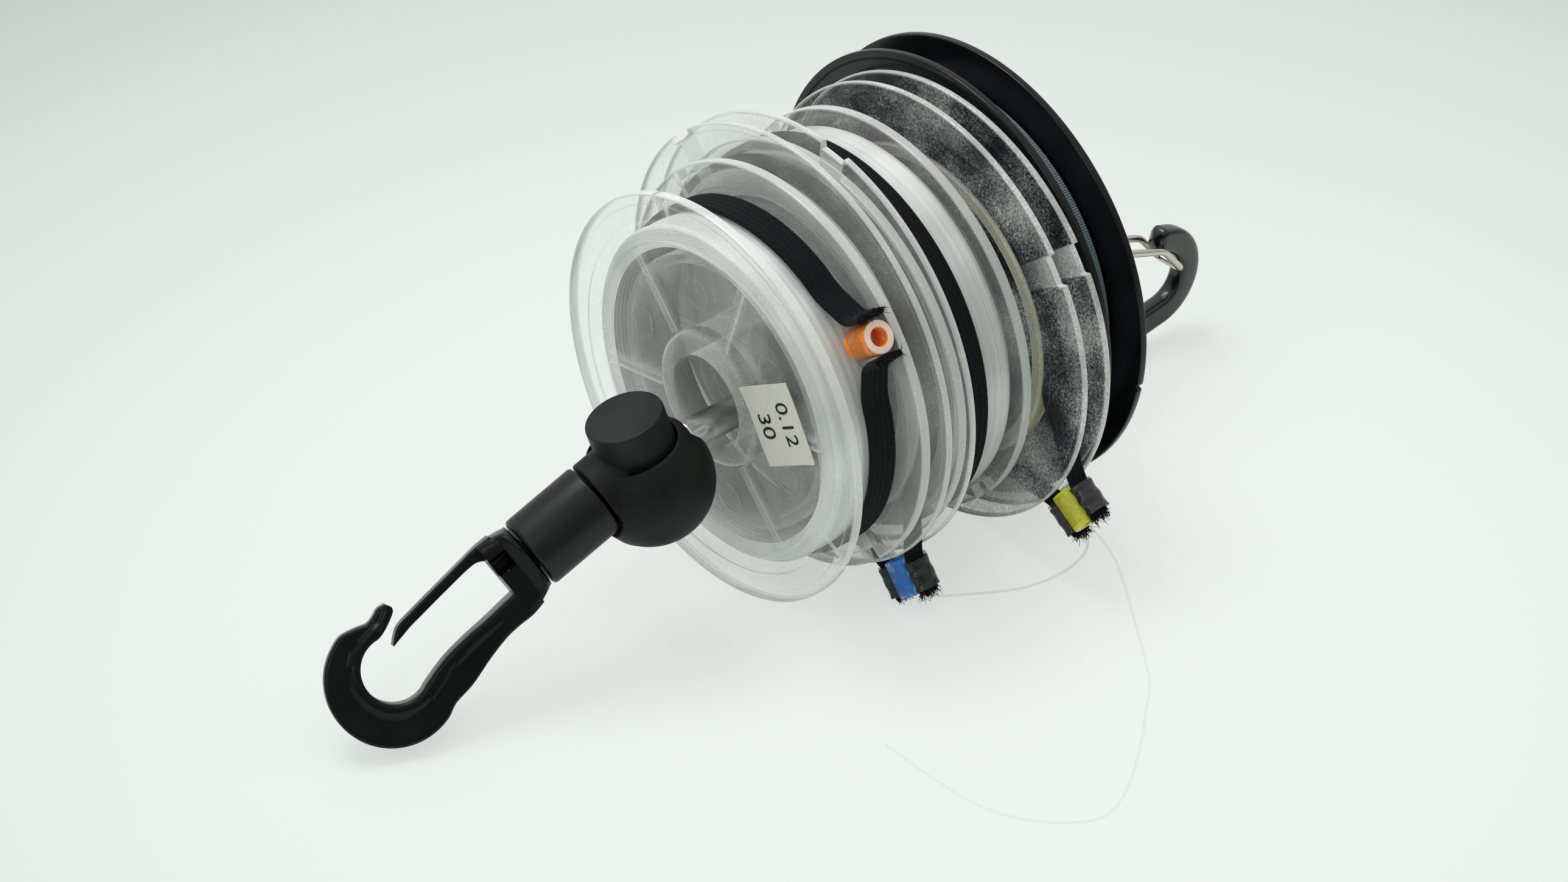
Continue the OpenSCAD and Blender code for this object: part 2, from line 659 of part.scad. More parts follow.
module snap_hook() {
    color([0.11, 0.11, 0.12]) union() {
        difference() {
            union() {
                at_hook() translate([0, 0, -hook_t / 2]) linear_extrude(height = hook_t) hook_outline(0);
                at_lock() intersection() {
                    out_rod(barrel_d / 2 - 0.2, hook_start, hook_start + 3);
                    rotate([hook_roll, 0, 0]) translate([-40, -2.6, -6]) cube([60, 5.2, 12]);
                }
            }
            at_hook() translate([gate_root[0], gate_root[1], -4]) cylinder(r = gate_knuckle_r + run, h = 8);
            at_hook() translate([gate_root[0], gate_root[1] - gate_t / 2 - 0.4, -4]) cube([10, gate_t + 4, 8]);
        }
        at_hook() translate([0, 0, -hook_t / 2 - rib_h]) linear_extrude(height = hook_t + 2 * rib_h) hook_rib();
        at_lock() out_rod(stem_r, chamber_end - 1, hook_start + 1);
        at_lock() out_rod(stem_head_r, chamber_end - 1.6, chamber_end - 0.3);
    }
}

// Raised rib along the lower arm and round the bend, next to the opening
module hook_rib() {
    difference() {
        intersection() {
            hook_outline(0);
            union() {
                hook_opening(rib_w);
                translate(nose_rib) square(nose_rib_size);
            }
        }
        translate(bare_corner) square(bare_size);
    }
}

// Flexible tongue, hinged on a round root in the hook's shoulder
module hook_gate() {
    color([0.11, 0.11, 0.12]) at_hook() translate([0, 0, -hook_t / 2]) union() {
        translate(gate_root) cylinder(r = gate_knuckle_r, h = hook_t);
        linear_extrude(height = hook_t) polygon(concat(
            [gate_root + [0, gate_t / 2]], gate_upper, gate_lower, [gate_root - [0, gate_t / 2]]
        ));
    }
}

// ---- carabiner, drawn in its own upright plane ----

module at_carabiner() {
    place() translate([0, cara_y, 0]) rotate([90, 0, 0]) children();
}

// Points of an arc about c, from angle a0 to a1
function arc(c, r, a0, a1, n) =
    [for (k = [0:n]) c + r * [cos(a0 + (a1 - a0) * k / n), sin(a0 + (a1 - a0) * k / n)]];

// Pear shape: two arcs joined by the straight lines that touch both
module pear(inset) {
    span = nose_c - basket_c;
    tilt = atan2(span[1], span[0]);
    lean = acos((basket_r - nose_r) / norm(span));
    polygon(concat(
        arc(basket_c, basket_r - inset, tilt + lean, tilt + 360 - lean, 40),
        arc(nose_c, nose_r - inset, tilt - lean, tilt + lean, 24)
    ));
}

module carabiner_body() {
    color([0.25, 0.25, 0.26]) at_carabiner() difference() {
        translate([0, 0, -bar_t / 2]) linear_extrude(height = bar_t) difference() {
            pear(0);
            pear(bar_w);
            // Mouth that the wire gate closes
            polygon([[72, 14], [83, 14], [83.4, 16.5], [82.4, 24], [71, 28]]);
        }
        translate([gate_pivot[0], gate_pivot[1], -5]) cylinder(r = wire_d / 2 + run, h = 10);
    }
}

// One wire, bent at six corners into two legs, the crosspiece at the nose and the pivot in the frame
module carabiner_gate() {
    side = [gate_pivot, gate_bend, gate_tip];
    corners = [for (s = [-1, 1]) for (k = [0:2])
        let (p = side[s < 0 ? k : 2 - k]) [p[0], p[1], s * gate_leg_y]];
    line = [for (k = [0:5]) let (
            b = corners[k],
            a = b + gate_corner * unit(corners[(k + 5) % 6] - b),
            c = b + gate_corner * unit(corners[(k + 1) % 6] - b)
        ) for (t = [0:0.25:1]) (1 - t) * (1 - t) * a + 2 * t * (1 - t) * b + t * t * c];
    leg = gate_bend - gate_pivot;
    color("lightgray") at_carabiner() sweep(line, wire_d / 2, 16, [-leg[1], leg[0], 0], true);
}

spindle_tube();
spindle_cord();
rear_washer();
cord_loop();
carabiner_body();
carabiner_gate();
cord_end();
lock_body();
lock_button();
lock_spring();
swivel_barrel();
snap_hook();
hook_gate();
spool_a_front();
spool_a_rear();
spool_a_line();
spool_a_label();
spool_b_front();
spool_b_rear();
spool_b_line();
spool_c_front();
spool_c_rear();
spool_c_line();
spool_d_front();
spool_d_rear();
spool_d_line();
spool_e_front();
spool_e_rear();
spool_e_line();
band_a();
band_b();
band_c();
band_d();
band_e();
guide_a();
guide_b();
guide_c();
guide_d();
sleeve_a();
sleeve_b();
sleeve_c();
sleeve_d();
strand_b();
strand_d();
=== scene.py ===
"""Dresses a stack of line spools on a spindle, with its cord lock, snap hook and carabiner."""

import json
import math

import bmesh
import bpy
import numpy as np
from bpy.props import FloatProperty, FloatVectorProperty, PointerProperty
from mathutils import Matrix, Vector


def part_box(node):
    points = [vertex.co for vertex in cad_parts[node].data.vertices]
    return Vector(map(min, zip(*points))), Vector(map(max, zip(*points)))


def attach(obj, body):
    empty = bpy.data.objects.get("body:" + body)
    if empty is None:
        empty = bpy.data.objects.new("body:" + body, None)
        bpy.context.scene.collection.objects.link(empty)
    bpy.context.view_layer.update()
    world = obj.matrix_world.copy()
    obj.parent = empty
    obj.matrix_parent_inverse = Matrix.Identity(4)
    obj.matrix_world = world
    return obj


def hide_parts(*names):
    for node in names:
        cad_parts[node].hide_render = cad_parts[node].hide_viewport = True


bl_info = {
    "name": "Line Spool Holder",
    "version": (1, 0, 0),
    "blender": (4, 5, 0),
    "location": "View3D > Sidebar > Spool Holder",
    "description": "Builds the visible surfaces of a stack of line spools with its cord lock and clips",
    "category": "Object",
}

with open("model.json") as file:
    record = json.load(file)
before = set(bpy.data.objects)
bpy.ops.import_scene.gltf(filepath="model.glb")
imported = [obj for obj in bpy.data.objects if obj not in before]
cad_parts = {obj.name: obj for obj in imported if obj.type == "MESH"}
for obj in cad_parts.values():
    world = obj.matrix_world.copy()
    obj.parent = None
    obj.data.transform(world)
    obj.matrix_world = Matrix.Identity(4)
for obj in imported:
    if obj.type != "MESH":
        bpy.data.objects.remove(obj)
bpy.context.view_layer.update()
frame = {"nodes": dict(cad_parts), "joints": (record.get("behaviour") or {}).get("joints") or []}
JOINTS = {joint["name"]: joint for joint in frame["joints"]}
MM = 0.001
TAU = 2 * math.pi
ALONG = np.array([1.0, 0, 0])
ACROSS = np.array([0, 1.0, 0])
UP = np.array([0, 0, 1.0])


# ---- where things are, read from the frame ----


def span(node):
    """Lowest and highest corner of a node of the frame, as arrays."""
    low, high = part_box(node)
    return np.array(low), np.array(high)


def unit(vector):
    """The vector divided by its own length."""
    vector = np.asarray(vector, float)
    return vector / np.linalg.norm(vector)


def square_to(vector, axis):
    """Unit vector along the part of a vector that is square to a unit axis."""
    return unit(vector - axis * (vector @ axis))


# How far the wide spools' hubs stand out past their flanges
HUB_RISE = 0.2 * MM


class Spool:
    """One spool's front plane, centre line, rim radius and width, measured on its two halves."""

    def __init__(self, letter):
        front_low, _ = span(f"spool_{letter}_front")
        rear_low, rear_high = span(f"spool_{letter}_rear")
        line_low, line_high = span(f"spool_{letter}_line")
        rise = HUB_RISE if letter in "ac" else 0
        self.letter = letter
        self.body = f"spool_{letter}"
        _, self.y, self.z = (rear_low + rear_high) / 2
        self.rim = (rear_high[2] - rear_low[2]) / 2
        self.line = (line_high[2] - line_low[2]) / 2
        self.line_x = (line_low[0], line_high[0])
        self.x = front_low[0] + rise
        self.width = rear_high[0] - rise - self.x
        self.flange = line_low[0] - self.x


SPOOLS = {letter: Spool(letter) for letter in "abcde"}
# Cord lock: the point where the cord bends, and the ways out of the stack and up the button
BEND = np.array(JOINTS["cord_flex"]["pos_m"])
OUT = unit(JOINTS["lock_slide"]["axis"])
BUTTON = -unit(JOINTS["button_press"]["axis"])
PRESS = square_to(BUTTON, OUT)
SIDE = np.cross(PRESS, -OUT)
# Hook: square to its plate, and across it. Its drawing has the tongue's pivot at this point, in mm
HOOK_NORMAL = square_to(unit(JOINTS["hook_gate_open"]["axis"]), OUT)
HOOK_ACROSS = np.cross(OUT, HOOK_NORMAL)
TONGUE_PIVOT = (22.6, 4.3)
HOOK_ROOT = np.array(JOINTS["hook_gate_open"]["pos_m"]) - MM * (
    TONGUE_PIVOT[0] * OUT + TONGUE_PIVOT[1] * HOOK_ACROSS)
SPINDLE = np.mean(span("spindle_tube"), 0)
TUBE_REACH = float(span("spindle_tube")[0][0] - BEND[0]) + 0.1 * MM
# Carabiner: its drawing, in mm, has the gate's pivot at this distance along the row
GATE_PIVOT_X = 68.2
CARABINER_X = float(JOINTS["carabiner_gate_open"]["pos_m"][0]) - GATE_PIVOT_X * MM
CARABINER_Y = float(np.mean(span("carabiner_body"), 0)[1])


# ---- shapes: grids of two parameters ----


def weld(mesh, gap, thinnest=0.0):
    """Merges points nearer than a gap, drops faces thinner than thinnest, turns normals outwards."""
    work = bmesh.new()
    work.from_mesh(mesh)
    bmesh.ops.remove_doubles(work, verts=work.verts, dist=gap)
    if thinnest:
        bmesh.ops.dissolve_degenerate(work, dist=thinnest, edges=work.edges)
    bmesh.ops.recalc_face_normals(work, faces=work.faces)
    work.to_mesh(mesh)
    work.free()


def make_mesh(name, grids, creases=35, uvs=None):
    """Each grid is (points[u, v], wraps round u, wraps round v). Neighbouring points are joined by
    four-sided faces, and points that coincide are merged. uvs gives each grid's two pattern axes."""
    verts, faces, coords, base = [], [], [], 0
    for g, (points, wrap_u, wrap_v) in enumerate(grids):
        nu, nv = points.shape[:2]
        index = base + np.arange(nu * nv).reshape(nu, nv)
        rows, places = np.arange(nu if wrap_u else nu - 1), np.arange(nv if wrap_v else nv - 1)
        u, v = np.meshgrid(rows, places, indexing="ij")
        corners = ((u, v), (u + 1, v), (u + 1, v + 1), (u, v + 1))
        faces.append(np.stack([index[i % nu, j % nv] for i, j in corners], -1).reshape(-1, 4))
        verts.append(points.reshape(-1, 3))
        if uvs is not None:
            a, b = (np.append(axis, 2 * axis[-1] - axis[-2]) for axis in uvs[g])
            coords.append(np.stack([np.stack([a[i], b[j]], -1) for i, j in corners], -2).reshape(-1, 2))
        base += nu * nv
    verts, faces = np.concatenate(verts), np.concatenate(faces)
    mesh = bpy.data.meshes.new(name)
    mesh.vertices.add(len(verts))
    mesh.vertices.foreach_set("co", verts.astype(np.float32).ravel())
    mesh.loops.add(faces.size)
    mesh.loops.foreach_set("vertex_index", faces.astype(np.int32).ravel())
    mesh.polygons.add(len(faces))
    mesh.polygons.foreach_set("loop_start", np.arange(0, faces.size, 4, dtype=np.int32))
    mesh.update(calc_edges=True)
    if uvs is not None:
        layer = mesh.uv_layers.new(name="UVMap")
        layer.uv.foreach_set("vector", np.concatenate(coords).astype(np.float32).ravel())
    weld(mesh, 2e-7, 1e-8)
    mesh.shade_smooth()
    mesh.set_sharp_from_angle(angle=math.radians(creases))
    return mesh


def soften(points, radius, steps=3, closed=True):
    """A line with each corner replaced by a short parabola that starts and ends a radius from it."""
    points = np.asarray(points, float)
    before = np.roll(points, 1, 0)
    after = np.roll(points, -1, 0)
    t = np.linspace(0, 1, steps + 1)[None, :, None]
    back = np.linalg.norm(before - points, axis=1, keepdims=True)
    ahead = np.linalg.norm(after - points, axis=1, keepdims=True)
    radius = np.broadcast_to(np.asarray(radius, float).reshape(-1, 1), back.shape)
    a = points + (before - points) / back * np.minimum(radius, back * 0.45)
    b = points + (after - points) / ahead * np.minimum(radius, ahead * 0.45)
    curve = (1 - t) ** 2 * a[:, None] + 2 * t * (1 - t) * points[:, None] + t**2 * b[:, None]
    if not closed:
        curve[0], curve[-1] = points[0], points[-1]
    return curve.reshape(-1, points.shape[1])


def box_profile(low, high, inner, outer):
    """A closed profile of four corners, between two distances along an axis and two radii."""
    return np.array([[low, inner], [low, outer], [high, outer], [high, inner]])


def columns(profile, count):
    """The two columns of a profile, each repeated over count angles."""
    profile = np.asarray(profile, float)
    return np.repeat(profile[:, :1], count, 1), np.repeat(profile[:, 1:2], count, 1)


def spin(profile, origin, axis, start, turns=64, shape=None):
    """A profile of (distance along an axis, radius) carried round that axis through origin. Angles
    run from the direction start. shape(along, radius, angle) may move the points."""
    axis = unit(axis)
    start = square_to(np.asarray(start, float), axis)
    angle = np.repeat(np.linspace(0, TAU, turns, endpoint=False)[None, :], len(profile), 0)
    along, radius = columns(profile, turns)
    if shape is not None:
        along, radius = shape(along, radius, angle)
    round_part = np.cos(angle)[..., None] * start + np.sin(angle)[..., None] * np.cross(axis, start)
    return np.asarray(origin) + along[..., None] * axis + radius[..., None] * round_part


def tube(path, section, up=UP, closed=False, scale=None):
    """A section of (sideways, upwards) points carried along a path. Sideways is square to the path
    and to up. Open ends are closed by rings shrunk to a point."""
    path = np.asarray(path, float)
    ahead = np.roll(path, -1, 0) - np.roll(path, 1, 0)
    if not closed:
        ahead[0], ahead[-1] = path[1] - path[0], path[-1] - path[-2]
    ahead /= np.linalg.norm(ahead, axis=1, keepdims=True)
    side = np.cross(ahead, np.broadcast_to(np.asarray(up, float), path.shape))
    side /= np.linalg.norm(side, axis=1, keepdims=True)
    rise = np.cross(side, ahead)
    section = np.broadcast_to(np.asarray(section, float), (len(path),) + np.shape(section))
    if scale is not None:
        section = section * np.asarray(scale, float)[:, None, None]
    points = path[:, None] + section[..., :1] * side[:, None] + section[..., 1:] * rise[:, None]
    if closed:
        return points
    count = points.shape[1]
    return np.concatenate([np.repeat(path[:1, None], count, 1), points, np.repeat(path[-1:, None], count, 1)])


def ring(radius, count=24, flatten=1.0):
    """Points of a circle, or of an ellipse with its upward axis multiplied by flatten."""
    a = np.linspace(0, TAU, count, endpoint=False)
    return np.stack([radius * np.cos(a), radius * flatten * np.sin(a)], -1)


def boxy(angle, power=0.55):
    """Points round a square with well-rounded corners: cosine and sine to a power below one."""
    waves = np.stack([np.cos(angle), np.sin(angle)], -1)
    return np.sign(waves) * np.abs(waves) ** power


def smooth_path(points, steps):
    """Catmull-Rom curve through the points, with this many steps between neighbours."""
    p = np.asarray(points, float)
    before, after = np.concatenate([p[:1], p[:-2]]), np.concatenate([p[2:], p[-1:]])
    u = np.linspace(0, 1, steps, endpoint=False)[None, :, None]
    a, b, c, d = (q[:, None] for q in (before, p[:-1], p[1:], after))
    curve = 2 * b + (c - a) * u + (2 * a - 5 * b + 4 * c - d) * u**2 + (3 * b - a - 3 * c + d) * u**3
    return np.concatenate([0.5 * curve.reshape(-1, p.shape[1]), p[-1:]])


def arc(centre, radius, first, last, count):
    """Points of an arc in a plane, from one angle to another in degrees."""
    a = np.radians(np.linspace(first, last, count))
    return np.stack([centre[0] + radius * np.cos(a), centre[1] + radius * np.sin(a)], -1)


def distances(path):
    """The distance of each point of a path from its start, along the path."""
    return np.concatenate([[0], np.cumsum(np.linalg.norm(np.diff(path, axis=0), axis=1))])


def even(path, gap):
    """The same path with its points an even distance apart, and the distance of each from its start."""
    length = distances(path)
    where = np.linspace(0, length[-1], max(3, int(length[-1] / gap) + 1))
    return np.stack([np.interp(where, length, path[:, k]) for k in range(path.shape[1])], -1), where


def past_ends(values, beyond):
    """Values with one more before the first and one after the last, this far beyond them."""
    return np.concatenate([[values[0] - beyond], values, [values[-1] + beyond]])


def even_uv(grid, gap_u, gap_v):
    """Pattern axes of a grid whose rows and columns are taken as evenly spaced."""
    return np.arange(grid.shape[0]) * gap_u, np.arange(grid.shape[1]) * gap_v


def step(x, low, high):
    """0 below low, 1 above high, and a smooth rise between."""
    t = np.clip((x - low) / (high - low), 0, 1)
    return t * t * (3 - 2 * t)


def turn_from(angle, degrees):
    """Signed difference between an angle in radians and one in degrees, in radians."""
    return (angle - math.radians(degrees) + math.pi) % TAU - math.pi


def place_mesh(name, mesh, material, body, replaces=()):
    """Puts a mesh into the scene at the origin, on its body, in place of the frame's plain nodes."""
    piece = bpy.data.objects.new(name, mesh)
    bpy.context.scene.collection.objects.link(piece)
    mesh.materials.append(material)
    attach(piece, body)
    if replaces:
        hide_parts(*replaces)
    return piece


def add_piece(name, grids, creases, material, body, replaces=(), uvs=None):
    """Makes a piece of its grids and puts it into the scene."""
    return place_mesh(name, make_mesh(name, grids, creases, uvs), material, body, replaces)


def dress(node, material):
    """Gives a node of the frame its finish."""
    materials = frame["nodes"][node].data.materials
    if not materials:
        materials.append(material)
    for k in range(len(materials)):
        materials[k] = material


# ---- materials ----


def linear(code):
    """An sRGB hex colour as linear red, green, blue and full alpha."""
    s = np.array([int(code[k : k + 2], 16) for k in (1, 3, 5)]) / 255
    return (*np.where(s <= 0.04045, s / 12.92, ((s + 0.055) / 1.055) ** 2.4).tolist(), 1.0)


def colour(value):
    """A colour property as the four numbers of a shader socket."""
    return (*value[:3], 1.0)


def shaded(tint, factor, lift=0.0):
    """A colour made darker or brighter by a factor, and lifted a little."""
    return (*(min(1, c * factor + lift) for c in tint[:3]), 1)


def node(tree, kind, inputs=None, **settings):
    """Adds a shader node, with its settings, its input values and its links."""
    made = tree.nodes.new("ShaderNode" + kind)
    for key, value in settings.items():
        setattr(made, key, value)
    for key, value in (inputs or {}).items():
        socket = made.inputs[key]
        if isinstance(value, bpy.types.NodeSocket):
            tree.links.new(value, socket)
        else:
            socket.default_value = value
    return made


def new_material(name, **inputs):
    """A material with one Principled shader, given its fixed inputs by name."""
    material = bpy.data.materials.new(name)
    material.use_nodes = True
    tree = material.node_tree
    shader = tree.nodes["Principled BSDF"]
    for key, value in inputs.items():
        shader.inputs[key.replace("_", " ")].default_value = value
    return material, tree, shader


def calc(tree, operation, *values, clamp=False):
    """The result of one sum on values that are numbers or sockets."""
    return node(tree, "Math", dict(enumerate(values)), operation=operation, use_clamp=clamp).outputs[0]


def blend(tree, share, a, b):
    """Two values mixed, with this share of the second."""
    return node(tree, "Mix", {"Factor": share, "A": a, "B": b}, data_type="FLOAT").outputs["Result"]


def ramp(tree, factor, *stops):
    """A ramp over (position, colour or grey level) stops."""
    made = node(tree, "ValToRGB", {"Fac": factor})
    band = made.color_ramp
    while len(band.elements) < len(stops):
        band.elements.new(0.5)
    for element, (position, value) in zip(band.elements, stops):
        element.position = position
        element.color = value if isinstance(value, tuple) else (value, value, value, 1)
    return made.outputs["Color"]


def vary(tree, shader, socket, factor, *stops):
    """Lets a ramp over a factor set one of the shader's inputs."""
    tree.links.new(ramp(tree, factor, *stops), shader.inputs[socket])


def noise(tree, vector, size_mm, detail=2.0, roughness=0.5, distortion=0.0):
    """Noise whose lumps are about size_mm across."""
    return node(tree, "TexNoise", {"Vector": vector, "Scale": 1 / (size_mm * MM), "Detail": detail,
                                   "Roughness": roughness, "Distortion": distortion}).outputs["Fac"]


def bands(tree, vector, size_mm, direction, **inputs):
    """Stripes across one axis of the vector, about two thirds of size_mm apart."""
    inputs = {key.replace("_", " "): value for key, value in inputs.items()}
    inputs.update({"Vector": vector, "Scale": 3.1 / (size_mm * MM) / TAU})
    return node(tree, "TexWave", inputs, bands_direction=direction).outputs["Fac"]


def bump(tree, shader, height, depth_mm, strength):
    """Feeds a height from 0 to 1 to the shader as a bump of the given depth."""
    made = node(tree, "Bump", {"Height": height, "Distance": depth_mm * MM, "Strength": strength})
    tree.links.new(made.outputs["Normal"], shader.inputs["Normal"])
    return made.outputs["Normal"]


def stretched(tree, vector, scale):
    """A vector stretched by a factor along each axis."""
    return node(tree, "Mapping", {"Vector": vector, "Scale": scale}).outputs["Vector"]


def mapped(tree, scale=(1, 1, 1)):
    """Object coordinates, stretched by a factor along each axis."""
    return stretched(tree, node(tree, "TexCoord").outputs["Object"], scale)


def facing(tree, **inputs):
    """How aslant the surface is seen, from 0 face on to 1 edge on."""
    return node(tree, "LayerWeight", {"Blend": 0.5, **inputs}).outputs["Facing"]


def see_through(tree, shader, hidden, shade=0.06):
    """Lets what is behind a surface show past the given share of it. Light from the lamps, or on
    its way between two surfaces, passes more freely than sight, which leaves shade of that share,
    as clear parts throw pale shadows."""
    path = node(tree, "LightPath")
    light = calc(tree, "MAXIMUM", path.outputs["Is Shadow Ray"], path.outputs["Is Diffuse Ray"])
    passed = calc(tree, "MULTIPLY_ADD", light, shade - 1, 1.0)
    tree.links.new(calc(tree, "MULTIPLY", hidden, passed), shader.inputs["Alpha"])


def clear_styrene(name, tint, veil, cloud, cloud_mm=9):
    """Moulded clear polystyrene: see-through face on, with a faint haze, and a white veil that grows
    where it's seen aslant, a painted reflection. White along the rim's edges and on the raised hub
    and spokes is a painted highlight. It has drifts of fine scuffs. veil and cloud are the shares that
    a face and a scuff hide."""
    material, tree, shader = new_material(name, IOR=1.53, Transmission_Weight=0.25, Specular_IOR_Level=0.8)
    where = mapped(tree)
    drift = noise(tree, where, cloud_mm, 3, 0.6)
    grain = noise(tree, where, 0.35, 4, 0.7)
    scuff = ramp(tree, calc(tree, "MULTIPLY", drift, grain), (0.22, 0), (0.36, 1))
    # Painted reflection: the white veil thickens where the surface is seen aslant, beyond the faint haze face
    # on
    aslant = ramp(tree, facing(tree), (0, veil * 0.4), (0.5, veil), (0.7, veil + 0.22), (0.95, 0.9))
    edge = node(tree, "Attribute", attribute_name="edge").outputs["Fac"]
    # Painted highlight: the marked rim edges, hub and spokes hide more of what is behind them, on top of the
    # aslant veil
    wear_and_painted_highlight = calc(tree, "MULTIPLY_ADD", edge, 0.62, aslant)
    see_through(tree, shader, calc(tree, "MULTIPLY_ADD", scuff, cloud, wear_and_painted_highlight, clamp=True))
    # Base colour turns white on the scuffs, and on the marked edges as a painted highlight
    vary(tree, shader, "Base Color", calc(tree, "MAXIMUM", edge, scuff), (0, tint), (1, linear("#F8FAF7")))
    vary(tree, shader, "Roughness", scuff, (0, 0.05), (1, 0.3))
    bump(tree, shader, noise(tree, where, 7, 1), 0.05, 0.35)
    return material


def wound_nylon(name, tint, thread_mm):
    """Clear nylon line wound in level turns: fine threads round the drum, a silky gloss that slides
    over them like brushed metal, and light that soaks through the whole winding. The real 0.15 mm
    threads are drawn coarser so that they show."""
    material, tree, shader = new_material(
        name, Roughness=0.3, IOR=1.53, Specular_IOR_Level=0.9, Anisotropic=0.7)
    where = node(tree, "UVMap", uv_map="UVMap").outputs["UV"]
    # Across the threads, a shade that changes from one to the next, long along the winding, and slow
    # drifts; their darker parts are painted shade, for the grey zones beside the gloss's bright streaks
    streak = noise(tree, stretched(tree, where, (0.012, 1, 1)), thread_mm, 2, 0.6)
    drift = noise(tree, stretched(tree, where, (0.45, 0.12, 1)), 5, 1, 0.5)
    mixed = blend(tree, 0.62, streak, drift)
    # Base colour: the streaks and drifts darken it, painted shade
    vary(tree, shader, "Base Color", mixed, (0.36, shaded(tint, 0.7)), (0.56, tint))
    bump(tree, shader, bands(tree, where, thread_mm, "Y", Distortion=0.4, Detail=1.0), 0.05, 0.6)
    see_through(tree, shader, 0.94, 0.15)
    return material


def woven_elastic(name, dark, light, rib_mm):
    """Braided elastic: rubber cores under a polyester braid. The braid's short slanting stitches
    sit across each rib, and the dips between ribs stay dark."""
    material, tree, shader = new_material(
        name, Roughness=0.8, Sheen_Weight=0.04, Sheen_Roughness=0.4, Specular_IOR_Level=0.15)
    split = node(tree, "SeparateXYZ", {"Vector": node(tree, "UVMap", uv_map="UVMap").outputs["UV"]})
    zigzag = calc(tree, "PINGPONG", split.outputs["Y"], rib_mm * MM)
    lean = calc(tree, "MULTIPLY_ADD", zigzag, 0.9, split.outputs["X"])
    slanted = node(tree, "CombineXYZ", {"X": lean}).outputs["Vector"]
    stitch = bands(tree, slanted, 0.55, "X", Distortion=1.0, Detail=2.0, Detail_Scale=2.0)
    mixed = blend(tree, 0.45, stitch, noise(tree, node(tree, "TexCoord").outputs["Object"], 0.25, 3))
    vary(tree, shader, "Base Color", mixed, (0.3, dark), (0.75, light))
    bump(tree, shader, mixed, 0.12, 0.8)
    return material


def moulded_plastic(name, tint, roughness, grain_mm, depth_mm, shine=0.3):
    """Black ABS, nylon or polystyrene from a spark-finished mould: an even fine grain that scatters
    highlights, a little lighter and smoother where handling has polished it."""
    material, tree, shader = new_material(name, IOR=1.5, Specular_IOR_Level=shine)
    where = mapped(tree)
    patch = noise(tree, where, 6, 2, 0.5)
    vary(tree, shader, "Base Color", patch, (0.35, tint), (0.75, shaded(tint, 1.5, 0.004)))
    vary(tree, shader, "Roughness", patch, (0.3, roughness + 0.06), (0.7, roughness - 0.05))
    bump(tree, shader, noise(tree, where, grain_mm, 3, 0.6), depth_mm, 0.5)
    return material


def polished_steel(name, tint, roughness):
    """Drawn and polished stainless tube or wire: mirror-like, with hairlines along its length."""
    material, tree, shader = new_material(name, Metallic=1.0)
    hair = noise(tree, mapped(tree, (0.04, 1, 1)), 0.12, 3, 0.6)
    vary(tree, shader, "Base Color", hair, (0.3, tint), (0.7, shaded(tint, 1.15)))
    vary(tree, shader, "Roughness", hair, (0.3, roughness), (0.7, roughness + 0.14))
    bump(tree, shader, hair, 0.006, 0.3)
    return material


def anodised(name, tint):
    """Gunmetal-coloured anodised aluminium, tumbled smooth, with a faint satin grain."""
    material, tree, shader = new_material(name, Metallic=0.35, Coat_Weight=0.6, Coat_Roughness=0.1)
    where = mapped(tree)
    patch = noise(tree, where, 5, 2)
    vary(tree, shader, "Base Color", patch, (0.3, tint), (0.8, shaded(tint, 1.6)))
    vary(tree, shader, "Roughness", patch, (0.2, 0.32), (0.8, 0.2))
    bump(tree, shader, noise(tree, where, 0.2, 3), 0.01, 0.3)
    return material


def soft_tube(name, tint, pale):
    """Soft extruded PVC sleeving: even bright colour, satin, with pale rubbed scuffs."""
    material, tree, shader = new_material(
        name, Roughness=0.4, IOR=1.5, Subsurface_Weight=0.15, Subsurface_Scale=1 * MM,
        Subsurface_Radius=(1.0, 0.5, 0.3))
    rub = noise(tree, mapped(tree), 1.6, 5, 0.7, 0.6)
    vary(tree, shader, "Base Color", rub, (0.52, tint), (0.62, pale))
    bump(tree, shader, rub, 0.02, 0.4)
    return material


def braided_cord(name, dark, light):
    """Round elastic cord in a polyester braid whose strands cross both ways."""
    material, tree, shader = new_material(name, Roughness=0.8, Sheen_Weight=0.1, Specular_IOR_Level=0.2)
    split = node(tree, "SeparateXYZ", {"Vector": node(tree, "UVMap", uv_map="UVMap").outputs["UV"]})
    weave = []
    for sign in (1.0, -1.0):
        lean = calc(tree, "MULTIPLY_ADD", split.outputs["Y"], sign, split.outputs["X"])
        weave.append(bands(tree, node(tree, "CombineXYZ", {"X": lean}).outputs["Vector"], 0.8, "X"))
    both = calc(tree, "MAXIMUM", *weave)
    vary(tree, shader, "Base Color", both, (0.2, dark), (0.9, light))
    bump(tree, shader, both, 0.2, 0.8)
    return material


def rubber(name, tint):
    """Black moulded rubber: matt, dusty in the dips."""
    material, tree, shader = new_material(name, Roughness=0.75, IOR=1.5, Specular_IOR_Level=0.25)
    dust = noise(tree, mapped(tree), 1.2, 4, 0.6)
    vary(tree, shader, "Base Color", dust, (0.4, tint), (0.8, shaded(tint, 2.2)))
    bump(tree, shader, dust, 0.03, 0.4)
    return material


def label_paper(name, tint):
    """Uncoated label stock, a little warm, with the fibre just showing."""
    material, tree, shader = new_material(name, Roughness=0.85)
    fibre = noise(tree, mapped(tree, (1, 1, 0.4)), 0.3, 4)
    vary(tree, shader, "Base Color", fibre, (0.3, shaded(tint, 0.93)), (0.7, tint))
    bump(tree, shader, fibre, 0.02, 0.3)
    return material


